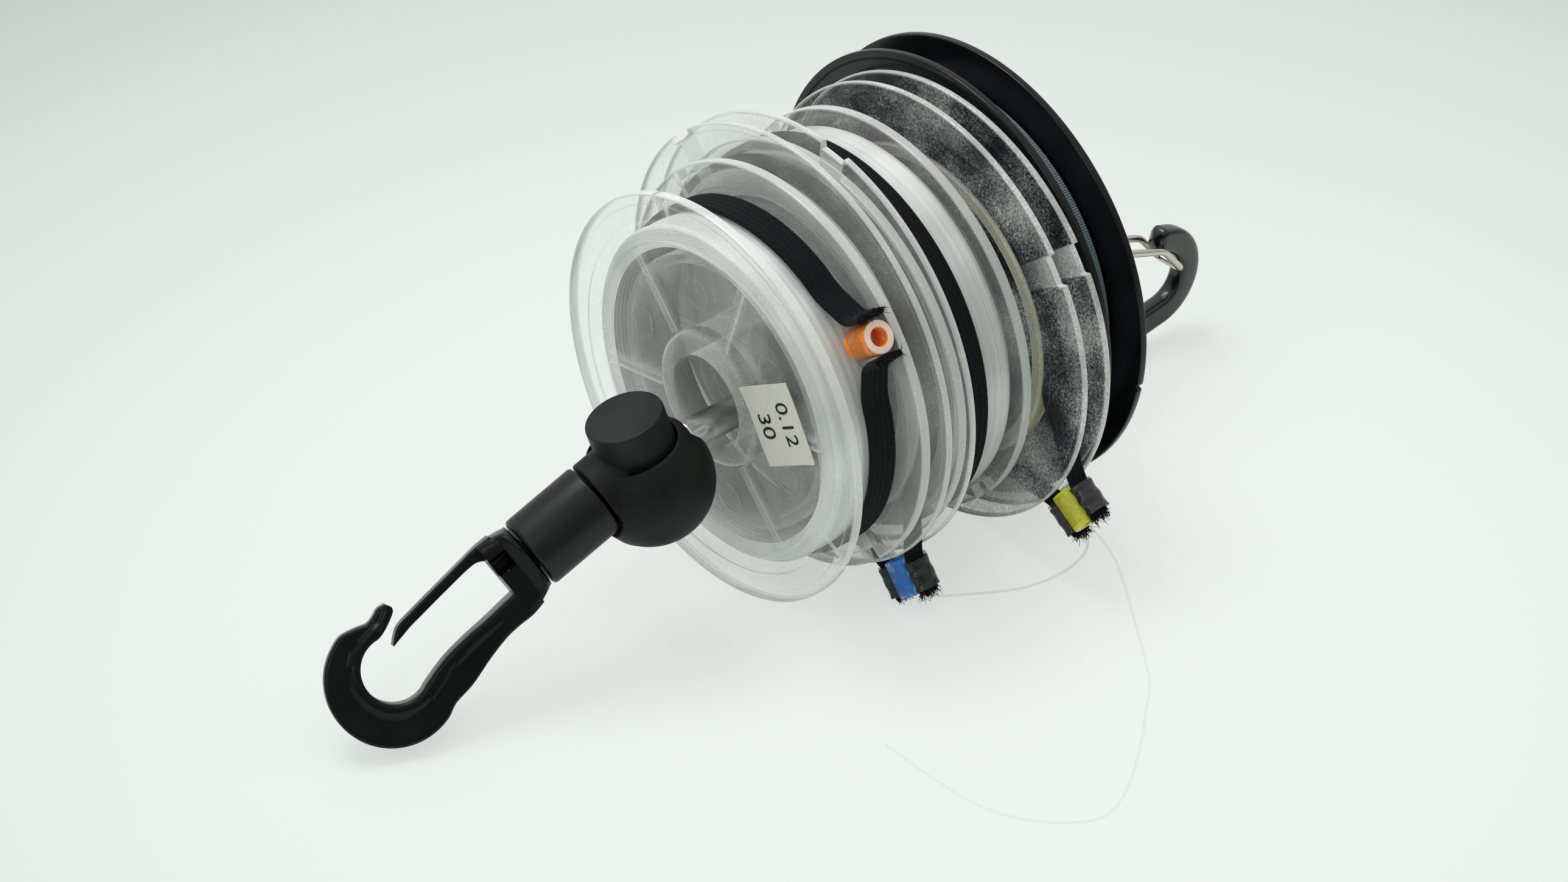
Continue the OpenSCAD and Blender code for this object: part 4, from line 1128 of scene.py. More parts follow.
class SPOOLHOLDER_OT_label(bpy.types.Operator):
    """Sticks a paper label with plain numbers on the first spool"""

    bl_idname = "spoolholder.label"
    bl_label = "Spool Label"

    def execute(self, context):
        paper = label_paper("label_paper", linear("#ECE9DC"))
        ink, _, _ = new_material("black_print", Roughness=0.7, Base_Color=linear("#17191B"))
        low, high = span("spool_a_label")
        tall, wide, thick = 10.4 * MM, 11.2 * MM, 0.12 * MM
        out, along = outward_axes(-120)
        front = low[0] - 0.01 * MM
        middle = (low + high) / 2

        def wave(v):
            """The sheet's slow wave at a share of its width from the middle."""
            return 0.05 * MM * np.sin(v * 7)

        # A sheet that waves a little and lifts at two of its corners
        u = np.linspace(-0.5, 0.5, 24)[:, None]
        v = np.linspace(-0.5, 0.5, 24)[None, :]
        face = middle + (u * tall)[..., None] * out + (v * wide)[..., None] * along
        face[..., 0] = front - 0.22 * MM * np.clip(u * v * 4, 0, 1) ** 3 - wave(v)
        back = (face + thick * ALONG)[::-1]
        edges = [(np.stack([face[:, k], back[::-1][:, k]]), False, False) for k in (0, -1)]
        sheet = [(np.concatenate([face, back]), True, False)] + edges
        add_piece("paper_label", sheet, 30, paper, "spool_a", ["spool_a_label"])
        # Plain numbers: a line diameter and a length, each with its height and its place up the label
        numbers = (("label_size", "0.12", 3.6 * MM, 0.2), ("label_length", "30", 3.8 * MM, -0.24))
        for name, text, height, shift in numbers:
            curve = bpy.data.curves.new("digits", "FONT")
            curve.body = text
            curve.size = height
            curve.extrude = 0.02 * MM
            curve.align_x = curve.align_y = "CENTER"
            digits = bpy.data.objects.new("digits", curve)
            context.scene.collection.objects.link(digits)
            context.view_layer.update()
            flat = bpy.data.meshes.new_from_object(digits)
            bpy.data.objects.remove(digits)
            co = vertex_points(flat)
            where = middle + co[:, :1] * along + (co[:, 1:2] + shift * tall) * out
            where[:, 0] = front - 0.03 * MM - co[:, 2] - wave((where - middle) @ along / wide)
            flat.vertices.foreach_set("co", where.astype(np.float32).ravel())
            flat.materials.clear()
            flat.name = name
            weld(flat, 1e-7)
            place_mesh(name, flat, ink, "spool_a")
        return {"FINISHED"}


# ---- spindle, cord and washer ----

CORD_SIDES = 20
CORD_RADIUS = 1.28 * MM


def cord_strip(name, path, material, body, replaces, up):
    """Braided cord along a path, with its pattern round and along it."""
    uvs = [(past_ends(distances(path), 0.1 * MM), np.arange(CORD_SIDES) * TAU * CORD_RADIUS / CORD_SIDES)]
    grids = [(tube(path, ring(CORD_RADIUS, CORD_SIDES), up), False, True)]
    add_piece(name, grids, 50, material, body, replaces, uvs)


class SPOOLHOLDER_OT_spindle(bpy.types.Operator):
    """Polishes the spindle tube and threads the cord and its loop"""

    bl_idname = "spoolholder.spindle"
    bl_label = "Spindle And Cord"

    def execute(self, context):
        settings = context.scene.spool_holder.hardware
        steel = polished_steel("polished_steel", colour(settings.steel), 0.08)
        braid = braided_cord("braided_cord", linear("#151517"), linear("#3A3B40"))
        low, high = span("spindle_tube")
        radius, bore, tube_end = (high[2] - low[2]) / 2, 1.3 * MM, high[0]
        axis = np.array([0, SPINDLE[1], SPINDLE[2]])

        def turned_ring(low, high, inner, outer, rounding):
            """A ring between two planes and two radii round the spindle, its corners rounded."""
            profile = soften(box_profile(low, high, inner, outer), np.array(rounding) * MM, 5)
            return [(spin(profile, axis, ALONG, UP, 96), True, True)]

        shape = turned_ring(low[0], high[0], bore, radius, [0.2, 0.35, 0.35, 0.2])
        add_piece("spindle_steel_tube", shape, 40, steel, "spindle", ["spindle_tube"])
        low, high = span("spindle_cord")
        path = axis + np.linspace(low[0], high[0], 80)[:, None] * ALONG
        cord_strip("spindle_braid", path, braid, "spindle", ["spindle_cord"], UP)
        path = BEND + np.linspace(-1.2, 14.6, 24)[:, None] * MM * OUT
        cord_strip("lock_braid", path, braid, "cord_end", ["cord_end"], PRESS)
        # Washer: a flat black rubber ring behind the last spool, its edges rounded
        low, high = span("rear_washer")
        inner, outer = radius + 0.01 * MM, (high[2] - low[2]) / 2
        shape = turned_ring(low[0], high[0], inner, outer, [0.1, 0.45, 0.45, 0.3])
        look = rubber("washer_rubber", linear("#111112"))
        add_piece("rubber_washer", shape, 40, look, "spindle", ["rear_washer"])
        # Loop: a ring through the carabiner, square to its plane, so that it passes round the bar
        slant = math.radians(135)
        out = np.array([math.cos(slant), 0, math.sin(slant)])
        rise = np.array([-math.sin(slant), 0, math.cos(slant)])
        bar_radius, clear_of_bar, reach = 10.7, 1.6, 5.3 * MM
        bar = np.array([BASKET[0], 0, BASKET[1]]) + (bar_radius + clear_of_bar) * out
        centre = np.array([CARABINER_X, CARABINER_Y, 0]) + bar * MM
        circle = ring(reach, 120)
        path = centre + circle[:, :1] * out + circle[:, 1:] * rise
        grids = [(tube(path, ring(CORD_RADIUS, CORD_SIDES), ACROSS, True), True, True)]
        uvs = [(np.arange(120) * TAU * reach / 120, np.arange(CORD_SIDES) * TAU * CORD_RADIUS / CORD_SIDES)]
        # Knot: two turns, each with its place along the row and its lean, and a tucked end
        knot = np.array([tube_end + 2.2 * MM, SPINDLE[1] + 0.5 * MM, SPINDLE[2] - 0.5 * MM])
        for shift, lean in ((-0.9, (1.0, 0.25, 0.3)), (0.95, (1.0, -0.3, -0.3))):
            lean = unit(lean)
            u = unit(np.cross(lean, UP))
            circle = ring(1.55 * MM, 60)
            path = knot + shift * MM * ALONG + circle[:, :1] * u + circle[:, 1:] * np.cross(lean, u)
            grids.append((tube(path, ring(1.22 * MM, 16), lean, True), True, True))
        a = np.linspace(0, 1, 20)[:, None]
        sag = np.sin(a * math.pi) * np.array([0.8, -1.0, 0.3])
        tuck = knot + MM * (a * np.array([2.4, -1.6, -3.4]) + sag)
        grids.append((tube(tuck, ring(1.2 * MM, 16), (0, 1, 0.2)), False, True))
        uvs += [even_uv(grid[0], 0.17 * MM, 0.48 * MM) for grid in grids[1:]]
        add_piece("cord_loop_and_knot", grids, 50, braid, "spindle", ["cord_loop"], uvs)
        return {"FINISHED"}


# ---- cord lock ----

# Centre of the ball below the cord's bend, and its radius; the button's seat, its lip and its floor
BALL_DROP, BALL_RADIUS = 3.5 * MM, 8.7 * MM
SEAT_RADIUS, SEAT_LIP, SEAT_FLOOR = 6.0 * MM, 6.2 * MM, -4.4 * MM
# The seat lies this much towards the barrel, so the gap round the button is a crescent
SEAT_SHIFT = 0.45 * MM
BUTTON_RADIUS, BUTTON_FOOT, BUTTON_TOP = 5.3 * MM, -5.4 * MM, 7.2 * MM
# Collar towards the barrel: its radius and where it ends
NECK_RADIUS, NECK_END = 5.0 * MM, 7.4 * MM


def ball_grid(centre, radii, rows=12, turns=20):
    """An ellipsoid as a grid of rings from pole to pole."""
    a = np.linspace(0, math.pi, rows)[:, None]
    b = np.linspace(0, TAU, turns, endpoint=False)[None, :]
    shape = np.stack([np.sin(a) * np.cos(b), np.sin(a) * np.sin(b), np.cos(a) + 0 * b], -1)
    return np.asarray(centre) + shape * np.asarray(radii)


def off_axis(points, origin, axis):
    """Distance of each point from an axis."""
    return np.linalg.norm(np.cross(points - origin, axis), axis=-1)


def sink_slot(points, centre):
    """Sinks the ball's skin to the reach of the spindle's end, wherever the spindle can swing."""
    flex = unit(JOINTS["cord_flex"]["axis"])
    rel = points - BEND
    away = np.full(points.shape[:2], 1.0)
    # From 26 degrees, the cord's lower limit turned round, to 2 degrees past its upper one
    for angle in np.radians(np.linspace(26, -5, 10)):
        # The spindle's direction turned about the cord's flex axis
        way = ALONG * math.cos(angle) + np.cross(flex, ALONG) * math.sin(angle)
        way = way + flex * (flex @ ALONG) * (1 - math.cos(angle))
        ahead = rel @ way
        off = np.linalg.norm(rel - ahead[..., None] * way, axis=-1)
        away = np.minimum(away, np.where(ahead > 0, off, 1.0))
    skin = np.linalg.norm(points - centre, axis=-1) > BALL_RADIUS * 0.93
    reach = np.linalg.norm(rel, axis=-1)
    sink = (1 - step(away, 2.4 * MM, 2.7 * MM)) * skin * np.maximum(reach - TUBE_REACH, 0)
    return points - (sink / np.maximum(reach, 1e-9))[..., None] * rel


class SPOOLHOLDER_OT_cord_lock(bpy.types.Operator):
    """Moulds the round cord lock, its push button and its spring"""

    bl_idname = "spoolholder.cord_lock"
    bl_label = "Cord Lock"

    def execute(self, context):
        settings = context.scene.spool_holder.hardware
        soft_black = moulded_plastic("soft_black_plastic", colour(settings.black), 0.5, 0.3, 0.015, 0.22)
        button_black = moulded_plastic("button_black_plastic", linear("#111314"), 0.55, 0.22, 0.02)
        centre = BEND - BALL_DROP * BUTTON
        # Up the seat's wall to its lip, then over the outside of the ball down to the far pole
        outside = arc((0, 0), BALL_RADIUS, math.degrees(math.asin(SEAT_LIP / BALL_RADIUS) + 0.03), 180, 90)
        top = outside[0, 0]
        wall = [
            [SEAT_FLOOR, 0], [SEAT_FLOOR, SEAT_RADIUS], [top - 0.5 * MM, SEAT_RADIUS],
            [top - 0.1 * MM, SEAT_RADIUS + 0.06 * MM], [top + 0.03 * MM, SEAT_RADIUS + 0.18 * MM],
        ]
        points = spin(np.concatenate([wall, outside]), centre, BUTTON, OUT, 160)
        near = 1 - step(off_axis(points, centre, BUTTON), SEAT_RADIUS + 0.1 * MM, SEAT_RADIUS + 1.2 * MM)
        near = near * ((points - centre) @ BUTTON > SEAT_FLOOR - MM)
        points = points + near[..., None] * SEAT_SHIFT * square_to(OUT, BUTTON)
        points = sink_slot(points, centre)
        # The barrel's end sits in a flat seat cut into the ball
        beyond = np.maximum((points - BEND) @ OUT - (NECK_END - 0.05 * MM), 0)
        aside = off_axis(points, BEND, OUT)
        beyond = beyond * (1 - step(aside, NECK_RADIUS + 0.4 * MM, NECK_RADIUS + 0.6 * MM))
        points = points - beyond[..., None] * OUT
        neck = soften(box_profile(3 * MM, NECK_END, 0, NECK_RADIUS), [0, 0, 0.3 * MM, 0], 5)
        neck = spin(neck, BEND, OUT, PRESS, 96)
        grids = [(points, False, True), (neck, False, True)]
        add_piece("cord_lock_ball", grids, 40, soft_black, "lock", ["lock_body"])
        # Button: a plain cylinder with a rounded edge, a slightly dished top and a moulding burr
        r, top = BUTTON_RADIUS, BUTTON_TOP
        corners = np.array([[BUTTON_FOOT, 0], [BUTTON_FOOT, r], [top - 0.02 * MM, r], [top, r - 0.5 * MM]])
        side = soften(corners, [0, 0.3 * MM, 0.45 * MM, 0.3 * MM], 5)[6:-6]
        share = np.linspace(0.88, 0, 12)
        dish = np.stack([top - 0.06 * MM * (1 - share**2), share * r], -1)
        body = spin(np.concatenate([side, dish]), BEND, BUTTON, OUT, 128)
        burr_at = BEND + (top - 0.9 * MM) * BUTTON + (r - 0.05 * MM) * unit(-SIDE - OUT * 0.75)
        burr = ball_grid(burr_at, (0.42 * MM, 0.3 * MM, 0.28 * MM))
        grids = [(body, False, True), (burr, False, True)]
        add_piece("cord_lock_button", grids, 45, button_black, "lock_button", ["lock_button"])
        dress("lock_spring", polished_steel("spring_steel", linear("#8E9194"), 0.25))
        return {"FINISHED"}


class SPOOLHOLDER_OT_swivel(bpy.types.Operator):
    """Turns the swivel barrel between the lock and the hook"""

    bl_idname = "spoolholder.swivel"
    bl_label = "Swivel Barrel"

    def execute(self, context):
        settings = context.scene.spool_holder.hardware
        satin = moulded_plastic("satin_black_nylon", colour(settings.black), 0.38, 0.5, 0.008)
        # Its near end has a groove round the neck, its far end the hole that the hook's stem turns in
        start, end, pocket = 7.8, 18.8, 17.6
        corners = [
            [start, 0], [start, 3.2], [8.5, 3.4], [8.5, 4.2], [start, 4.3], [start, 5.1], [end, 5.1],
            [end, 2.35], [pocket, 2.15], [pocket, 0],
        ]
        rounding = np.array([0, 0.2, 0.2, 0.2, 0.2, 0.5, 0.65, 0.2, 0.2, 0])
        profile = soften(np.array(corners) * MM, rounding * MM + 1e-7, 6)[7:-7]
        profile = np.concatenate([[[start * MM, 0]], profile, [[pocket * MM, 0]]])
        points = spin(profile, BEND, OUT, PRESS, 128)
        shape = [(points, False, True)]
        add_piece("swivel_barrel_shell", shape, 40, satin, "barrel", ["swivel_barrel"])
        return {"FINISHED"}


# ---- snap hook ----

# Edges of the hook's arm, in millimetres in the hook's drawing: down the back, round the bend and
# up to the nose. The bend is an arc between the first and the last points
ARM_INNER = ([[22.6, -2.2], [24.3, -2.3], [26.6, -2.45], [29.4, -2.6], [33, -2.7], [36.6, -3.05]],
             ((42.2, 0), 4.4, 243, 450, 16),
             [[41.3, 4.35], [40.1, 4.62], [38.9, 5.1], [37.75, 5.75], [37.45, 6.3]])
ARM_OUTER = ([[22.2, -5.7], [24.3, -6.05], [26.6, -6.0], [29.0, -6.2], [32.2, -6.95], [35.8, -8.0]],
             ((43.3, -0.9), 8.7, 240, 440, 16),
             [[42.6, 7.2], [41.3, 6.75], [40.2, 6.9], [39.0, 7.35], [37.9, 7.2]])
# Edges of the tongue, from its root to its bevelled point
TONGUE_ABOVE = [[22.3, 5.25], [24.6, 5.3], [27, 5.1], [31.6, 4.7], [35.5, 4.35], [38.3, 4.0], [39.6, 3.25],
                [40.5, 2.45]]
TONGUE_BELOW = [[22.3, 3.2], [24.4, 3.1], [26.2, 3.75], [31.1, 3.45], [35, 3.1], [37.2, 2.9], [38.9, 2.6],
                [40.4, 2.35]]


def hook_at(u, v, w):
    """Points of the hook: u along it from its drawing's start, v across it and w out of its plane,
    in millimetres."""
    u, v, w = (value[..., None] for value in np.broadcast_arrays(np.asarray(u, float), v, w))
    return HOOK_ROOT + MM * (u * OUT + v * HOOK_ACROSS + w * HOOK_NORMAL)


def capped(grid, first, last):
    """A grid with a row shrunk to a point before it and one after it."""
    count = grid.shape[1]
    return np.concatenate([np.repeat(first, count, 1), grid, np.repeat(last, count, 1)])


def ruled_bar(inner, outer, heights, rounding=0.45):
    """A curved flat bar between an inner and an outer edge line. Across it, the half thickness
    follows heights(distance from the inner edge, width, share along), and both edges are rounded."""
    across = outer - inner
    width = np.linalg.norm(across, axis=1)[:, None]
    # Shares of the width, closer together where the rib and the rounded edges are
    q = np.concatenate([[0, 0.02, 0.06, 0.12, 0.2, 0.28], np.linspace(0.36, 0.9, 10), [0.95, 0.98, 1.0]])
    distance = q * width
    half = heights(distance, width, np.linspace(0, 1, len(inner))[:, None])
    soft = np.minimum(rounding, width / 2)
    fall = np.clip(1 - np.minimum(distance, width - distance) / soft, 0, 1)
    half = half - soft * (1 - np.sqrt(np.clip(1 - fall**2, 0, 1)))
    where = inner[:, None] + across[:, None] * q[None, :, None]
    top = hook_at(where[..., 0], where[..., 1], half)
    bottom = hook_at(where[..., 0], where[..., 1], -half)
    loop = np.concatenate([top, bottom[:, ::-1]], 1)
    return capped(loop, loop[:1].mean(1, keepdims=True), loop[-1:].mean(1, keepdims=True))


def arm_height(distance, width, share):
    """Half the arm's thickness: a rib along the inner edge, a thinner web beside it, a thick start
    at the shoulder and a plain nose."""
    rib = 2.2 - 0.75 * step(distance, 1.25, 1.9)
    nose = 1.75 - 0.35 * step(distance, 0.9, 1.5)
    at_nose = step(share, 0.86, 0.92)
    at_root = 1 - step(share, 0.06, 0.2)
    half = (rib * (1 - at_nose) + nose * at_nose) * (1 - step(share, 0.55, 0.8) * 0.1)
    return half * (1 - at_root) + at_root * (2.6 - 0.2 * distance / width)


def tongue_height(distance, width, share):
    """Half the tongue's thickness: even across it, and thicker at its root."""
    return 1.5 + 0.5 * (1 - step(share, 0.0, 0.22))


def shoulder():
    """Shoulder of the hook: a block that starts round at the barrel, turns square and has a square
    pocket in its upper face."""
    start, end = 19.95, 24.5
    u = np.concatenate([[start, 20.0, 20.1, 20.3], np.linspace(20.6, 24.35, 30), [24.45, end]])[:, None]
    edge = np.array([0.93, 0.96, 0.985, 1])
    s = np.concatenate([-edge[::-1], np.linspace(-0.88, 0.88, 50), edge])[None, :]
    share = (u - start) / (end - start)
    low = -4.75 - 1.3 * step(share, 0, 0.95)
    high = 4.75 + 0.5 * step(share, 0, 0.9)
    middle = (low + high) / 2
    v = middle + s * (high - low) / 2
    square = 2.2 + 5 * step(share, 0.0, 0.45)
    top = 4.6 - 1.55 * step(share, 0.02, 0.5) - 0.45 * step(share, 0.5, 1)
    h = top * np.clip(1 - np.abs(s) ** square, 0, 1) ** (1 / square)
    h = h * (1 - 0.16 * np.clip((0.35 - (u - start)) / 0.35, 0, 1) ** 2)
    pocket = step(u, 21.9, 22.05) * (1 - step(u, 24.6, 24.8)) * step(v, 0.55, 0.7) * (1 - step(v, 2.75, 2.9))
    face = h * (1 - pocket) - 0.8 * pocket
    block = np.concatenate([hook_at(u, v, face), hook_at(u, v, -h)[:, ::-1]], 1)
    return capped(block, *(hook_at(u[k, 0], middle[k, 0], 0.0)[None, None] for k in (0, -1)))


class SPOOLHOLDER_OT_hook(bpy.types.Operator):
    """Moulds the snap hook and its springy tongue"""

    bl_idname = "spoolholder.hook"
    bl_label = "Snap Hook"

    def execute(self, context):
        nylon = moulded_plastic("hook_black_nylon", linear("#060808"), 0.3, 0.5, 0.006, 0.2)
        inner, outer = (smooth_path(np.concatenate([back, arc(*bend), nose]), 6)
                        for back, bend, nose in (ARM_INNER, ARM_OUTER))
        arm = ruled_bar(inner, outer, arm_height)
        # A bar across the pocket, and the stem that turns in the barrel
        lug_path = hook_at(np.linspace(21.8, 24.4, 8), np.full(8, 2.25), np.linspace(1.15, 1.3, 8))
        lug = tube(lug_path, ring(0.42 * MM, 12), HOOK_NORMAL)
        stem = soften(box_profile(17.8, 20.2, 0, 2.0), [0.01, 0.1, 0.1, 0.01], 2) * MM
        stem = spin(stem, BEND, OUT, PRESS, 40)
        grids = [(grid, False, True) for grid in (arm, shoulder(), lug, stem)]
        add_piece("snap_hook_body", grids, 42, nylon, "hook", ["snap_hook"])
        below, above = smooth_path(TONGUE_BELOW, 8), smooth_path(TONGUE_ABOVE, 8)
        tongue = [(ruled_bar(below, above, tongue_height, 0.28), False, True)]
        add_piece("snap_hook_tongue", tongue, 42, nylon, "hook_gate", ["hook_gate"])
        return {"FINISHED"}


# ---- carabiner ----

# Middle line of the bar, in millimetres in the carabiner's drawing: arcs round its nose and its basket
NOSE, NOSE_RADIUS = np.array([84, 11.0]), 6.1
BASKET, BASKET_RADIUS = np.array([63.5, 12.9]), 10.7
# Half the bar's width and thickness
BAR = np.array([2.0, 1.5]) * MM
# One leg of the wire gate, from its pivot to its tip, and how far each leg is from the middle
GATE_LEG = [[GATE_PIVOT_X, 22.6], [83, 17], [86.9, 12.3]]
GATE_ASIDE = 2.4


def clip_at(x, z, y=0.0):
    """Points of the carabiner's drawing, in millimetres, in its plane and y to its side."""
    x, z, y = np.broadcast_arrays(np.asarray(x, float), z, y)
    return np.stack([CARABINER_X + x * MM, CARABINER_Y + y * MM, z * MM], -1)


class SPOOLHOLDER_OT_carabiner(bpy.types.Operator):
    """Forges the pear-shaped carabiner and bends its wire gate"""

    bl_idname = "spoolholder.carabiner"
    bl_label = "Carabiner"

    def execute(self, context):
        settings = context.scene.spool_holder.hardware
        metal = anodised("gunmetal_anodised", colour(settings.gunmetal))
        nickel = polished_steel("nickel_wire", linear("#C9C4BA"), 0.16)
        between = NOSE - BASKET
        tilt = math.degrees(math.atan2(between[1], between[0]))
        lean = math.degrees(math.acos((BASKET_RADIUS - NOSE_RADIUS) / np.linalg.norm(between)))
        left = arc(BASKET, BASKET_RADIUS, tilt + lean, tilt + 360 - lean, 90)
        right = arc(NOSE, NOSE_RADIUS, tilt - lean, tilt + lean, 50)
        # The gate closes most of one straight side: the bar ends at these shares of it
        first, last = (right[-1] + (left[0] - right[-1]) * share for share in (0.765, 0.136))
        line, along = even(np.concatenate([[first], left, right, [last]]), 0.5)
        ends = np.minimum(along, along[-1] - along)
        full = np.sqrt(np.clip(1 - (1 - np.clip(ends / 1.1, 0, 1)) ** 2, 0.02, 1))
        section = BAR * boxy(np.linspace(0, TAU, 40, endpoint=False))
        bar = [(tube(clip_at(line[:, 0], line[:, 1]), section, ACROSS, scale=full), False, True)]
        add_piece("carabiner_frame", bar, 50, metal, "carabiner", ["carabiner_body"])
        leg = np.array(GATE_LEG)
        corners = np.concatenate([np.insert(leg, 2, -GATE_ASIDE, 1), np.insert(leg[::-1], 2, GATE_ASIDE, 1)])
        soft = soften(corners, 1.1, 6)
        path, _ = even(np.concatenate([soft, soft[:1]]), 0.35)
        path = clip_at(path[:-1, 0], path[:-1, 1], path[:-1, 2])
        # The wire's own up direction is one that it never runs along
        wire = [(tube(path, ring(0.55 * MM, 16), (0.31, 0, 0.95), True), True, True)]
        add_piece("wire_gate", wire, 60, nickel, "carabiner_gate", ["carabiner_gate"])
        return {"FINISHED"}


# ---- loose line ends ----

# Routes of the two loose ends, in millimetres in the row's own frame before the row was centred
ENDS = {
    "b": [
        [16.9, -21.2, 3.3], [16.9, -22.2, 2.1], [17.6, -23, 1.4], [19.2, -24, 0.9], [22, -25.5, 0.6],
        [25.5, -27.5, 0.3], [29, -29.2, 0.15], [33, -30.2, 0.15], [37, -30.2, 0.15], [40.5, -29.2, 0.15],
        [43, -27.2, 0.15], [44, -25, 0.15],
    ],
    "d": [
        [36.1, -32.8, 10.6], [36.1, -34.1, 9.7], [36.4, -36, 8.2], [36.9, -38, 5.9], [36.9, -39.6, 3.4],
        [36.2, -41.6, 1.2], [34.2, -44.8, 0.15], [31, -49.3, 0.15], [27, -54.4, 0.15], [22.3, -58.3, 0.15],
        [18.4, -61.5, 0.15], [12.1, -65.9, 0.15], [6.6, -68.6, 0.15], [2.6, -68.4, 0.15], [-1.9, -64.7, 0.15],
        [-4.6, -60.5, 0.15], [-6, -56, 0.15], [-6.5, -50.9, 0.15], [-6.6, -45.7, 0.15], [-6.6, -40.7, 0.15],
    ],
}
END_DIAMETER = 0.3 * MM


class SPOOLHOLDER_OT_line_ends(bpy.types.Operator):
    """Lets the two loose line ends run out to the floor"""

    bl_idname = "spoolholder.line_ends"
    bl_label = "Loose Line Ends"

    def execute(self, context):
        clear = fine_line("loose_nylon_line")
        for letter, route in ENDS.items():
            low, high = span(f"strand_{letter}")
            route = np.array(route) * MM
            # The route's own box, set on the box of the frame's node
            shift = (low + high) / 2 - (route.min(0) + route.max(0)) / 2
            path, where = even(smooth_path(route + shift * [1, 1, 0], 8), 0.5 * MM)
            grids = [(tube(path, ring(END_DIAMETER / 2, 8)), False, True)]
            name = f"{letter}_loose_line"
            piece = add_piece(name, grids, 60, clear, "spindle", [f"strand_{letter}"])
        return {"FINISHED"}


# ---- camera, lamps and floor ----

# The camera's own three axes as columns, and its place in metres as the last one
CAMERA = (
    (0.75371, 0.39729, -0.52353, -0.26436),
    (-0.65688, 0.43028, -0.61916, -0.30561),
    (-0.02072, 0.81057, 0.58528, 0.30797),
    (0, 0, 0, 1),
)
# Lamps: name, place in metres, width, power as a multiple of the set power, and tint
LAMPS = (
    ("key_lamp", (-0.05, 0.4, 1.1), 0.6, 3, "#FFFFFF"),
    ("fill_lamp", (-0.8, -0.3, 0.7), 0.5, 1, "#F4FAFF"),
)
LAMPS_AIM = np.array([0, 0, 0.02])
# Where the world's light is brightest: overhead and behind the row
BRIGHT_WAY = (0.3, 0.38, 0.875)
# The floor is a flat sheet of paper, just under what stands on it
FLOOR_HALF, FLOOR_HEIGHT = 3.0, -0.00002


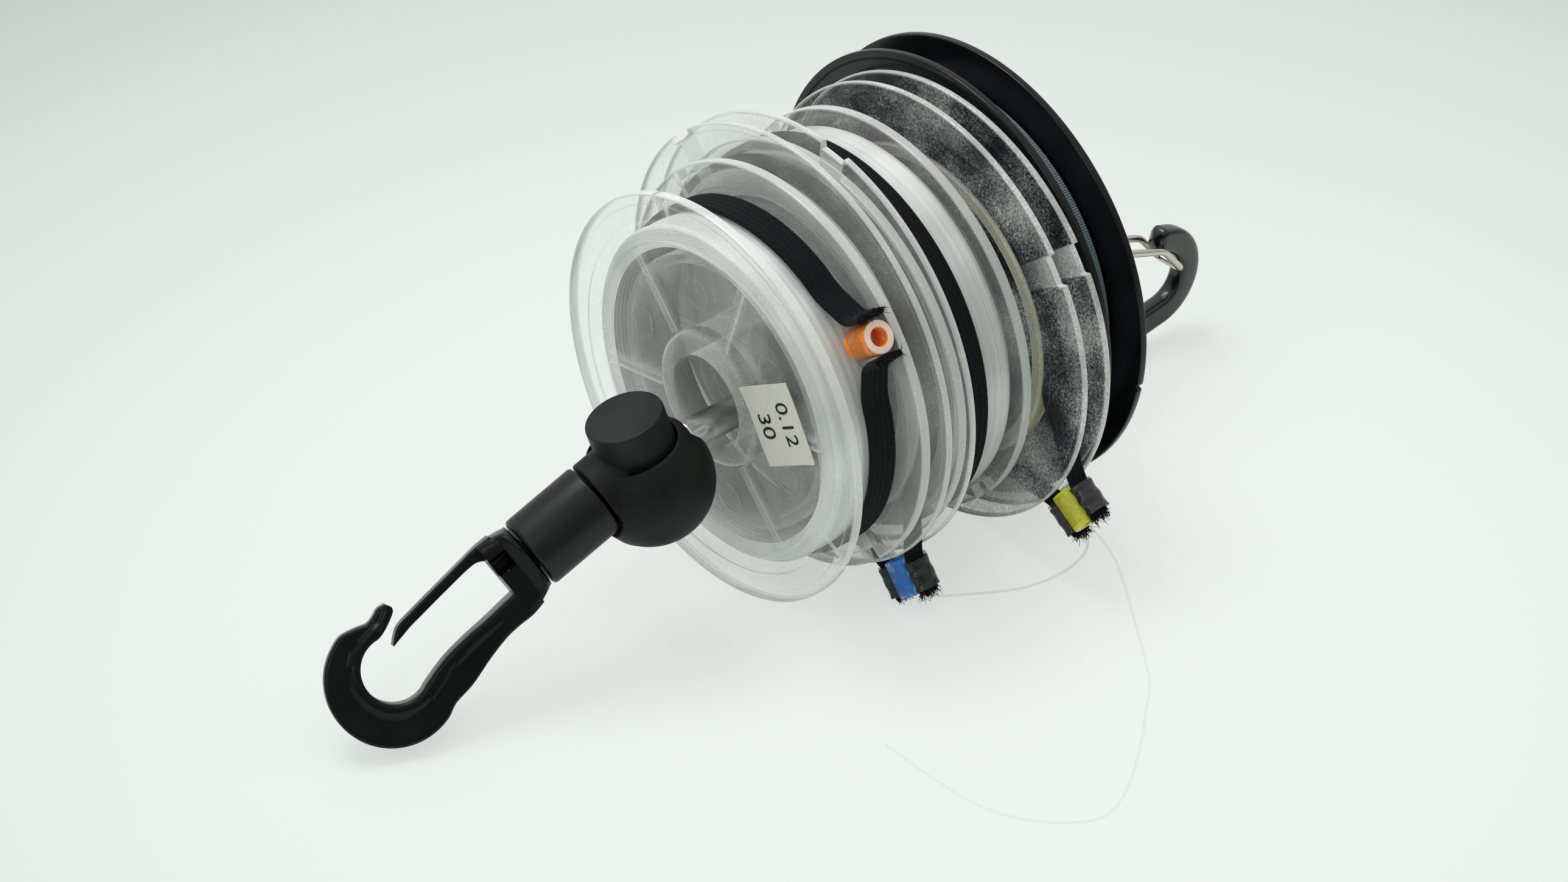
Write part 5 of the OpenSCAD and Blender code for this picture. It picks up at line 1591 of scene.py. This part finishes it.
class SPOOLHOLDER_OT_stage(bpy.types.Operator):
    """Sets the camera, the soft lamps and the pale floor"""

    bl_idname = "spoolholder.stage"
    bl_label = "Stage"

    def execute(self, context):
        scene = context.scene
        settings = scene.spool_holder.stage
        scene.view_settings.view_transform = "Standard"
        lens = bpy.data.cameras.new("camera")
        lens.sensor_width = 36
        lens.lens = settings.lens
        lens.clip_start = 0.01
        lens.clip_end = 20
        camera = bpy.data.objects.new("camera", lens)
        camera.matrix_world = Matrix(CAMERA)
        scene.collection.objects.link(camera)
        scene.camera = camera
        # World: a pale light that glass and metal also see
        world = bpy.data.worlds.new("studio")
        scene.world = world
        world.use_nodes = True
        tree = world.node_tree
        back = tree.nodes["Background"]
        way = node(tree, "TexCoord").outputs["Generated"]
        bright = node(tree, "VectorMath", {0: way, 1: BRIGHT_WAY}, operation="DOT_PRODUCT").outputs["Value"]
        share = calc(tree, "MULTIPLY_ADD", bright, 0.5, 0.5)
        low, mid, high = (linear(code) for code in ("#5C625E", "#A9B0AA", "#FDFFFC"))
        shade = ramp(tree, share, (0.25, low), (0.55, mid), (0.85, high))
        tree.links.new(shade, back.inputs["Color"])
        back.inputs["Strength"].default_value = settings.sky_strength
        for name, place, width, times, tint in LAMPS:
            lamp = bpy.data.lights.new(name, "AREA")
            lamp.shape = "DISK"
            lamp.size = width
            lamp.energy = settings.key_power * times
            lamp.color = linear(tint)[:3]
            shown = bpy.data.objects.new(name, lamp)
            way = unit(np.array(place) - LAMPS_AIM)
            side = unit(np.cross(UP, way))
            turn = np.stack([side, np.cross(way, side), way, place], 1)
            shown.matrix_world = Matrix(np.vstack([turn, [0, 0, 0, 1]]).tolist())
            scene.collection.objects.link(shown)
        x = np.linspace(-FLOOR_HALF, FLOOR_HALF, 3)
        grid = np.stack(np.meshgrid(x, x, indexing="ij") + [np.full((3, 3), FLOOR_HEIGHT)], -1)
        mesh = make_mesh("floor", [(grid, False, False)], 30)
        mesh.materials.append(floor_paper(colour(settings.floor_colour), colour(settings.floor_painted_falloff)))
        floor = bpy.data.objects.new("floor", mesh)
        scene.collection.objects.link(floor)
        return {"FINISHED"}


# ---- panel and registration ----

STEPS = (
    SPOOLHOLDER_OT_stage, SPOOLHOLDER_OT_line_ends, SPOOLHOLDER_OT_wide_spools, SPOOLHOLDER_OT_narrow_spools,
    SPOOLHOLDER_OT_black_spool, SPOOLHOLDER_OT_wound_line, SPOOLHOLDER_OT_elastic, SPOOLHOLDER_OT_guides,
    SPOOLHOLDER_OT_label, SPOOLHOLDER_OT_spindle, SPOOLHOLDER_OT_cord_lock, SPOOLHOLDER_OT_swivel,
    SPOOLHOLDER_OT_hook, SPOOLHOLDER_OT_carabiner,
)


class SPOOLHOLDER_PT_panel(bpy.types.Panel):
    """Sizes and colours of the line spool holder, and a button for each piece"""

    bl_idname = "SPOOLHOLDER_PT_panel"
    bl_label = "Line Spool Holder"
    bl_space_type = "VIEW_3D"
    bl_region_type = "UI"
    bl_category = "Spool Holder"

    def draw(self, context):
        for group in ("stage", "spools", "elastic", "hardware"):
            box = self.layout.box()
            box.label(text=group.title())
            part = getattr(context.scene.spool_holder, group)
            for name in part.bl_rna.properties.keys():
                if name not in ("rna_type", "name"):
                    box.prop(part, name)
        for item in STEPS:
            self.layout.operator(item.bl_idname)


CLASSES = (
    StageSettings, SpoolSettings, ElasticSettings, HardwareSettings, HolderSettings, *STEPS,
    SPOOLHOLDER_PT_panel,
)


def register():
    """Adds the settings, the operators and the panel to Blender."""
    for item in CLASSES:
        bpy.utils.register_class(item)
    bpy.types.Scene.spool_holder = PointerProperty(type=HolderSettings)


def unregister():
    """Takes them away again."""
    del bpy.types.Scene.spool_holder
    for item in reversed(CLASSES):
        bpy.utils.unregister_class(item)


def main():
    """Runs every step in order."""
    register()
    for item in STEPS:
        group, name = item.bl_idname.split(".")
        getattr(getattr(bpy.ops, group), name)()


if __name__ == "__main__":
    main()
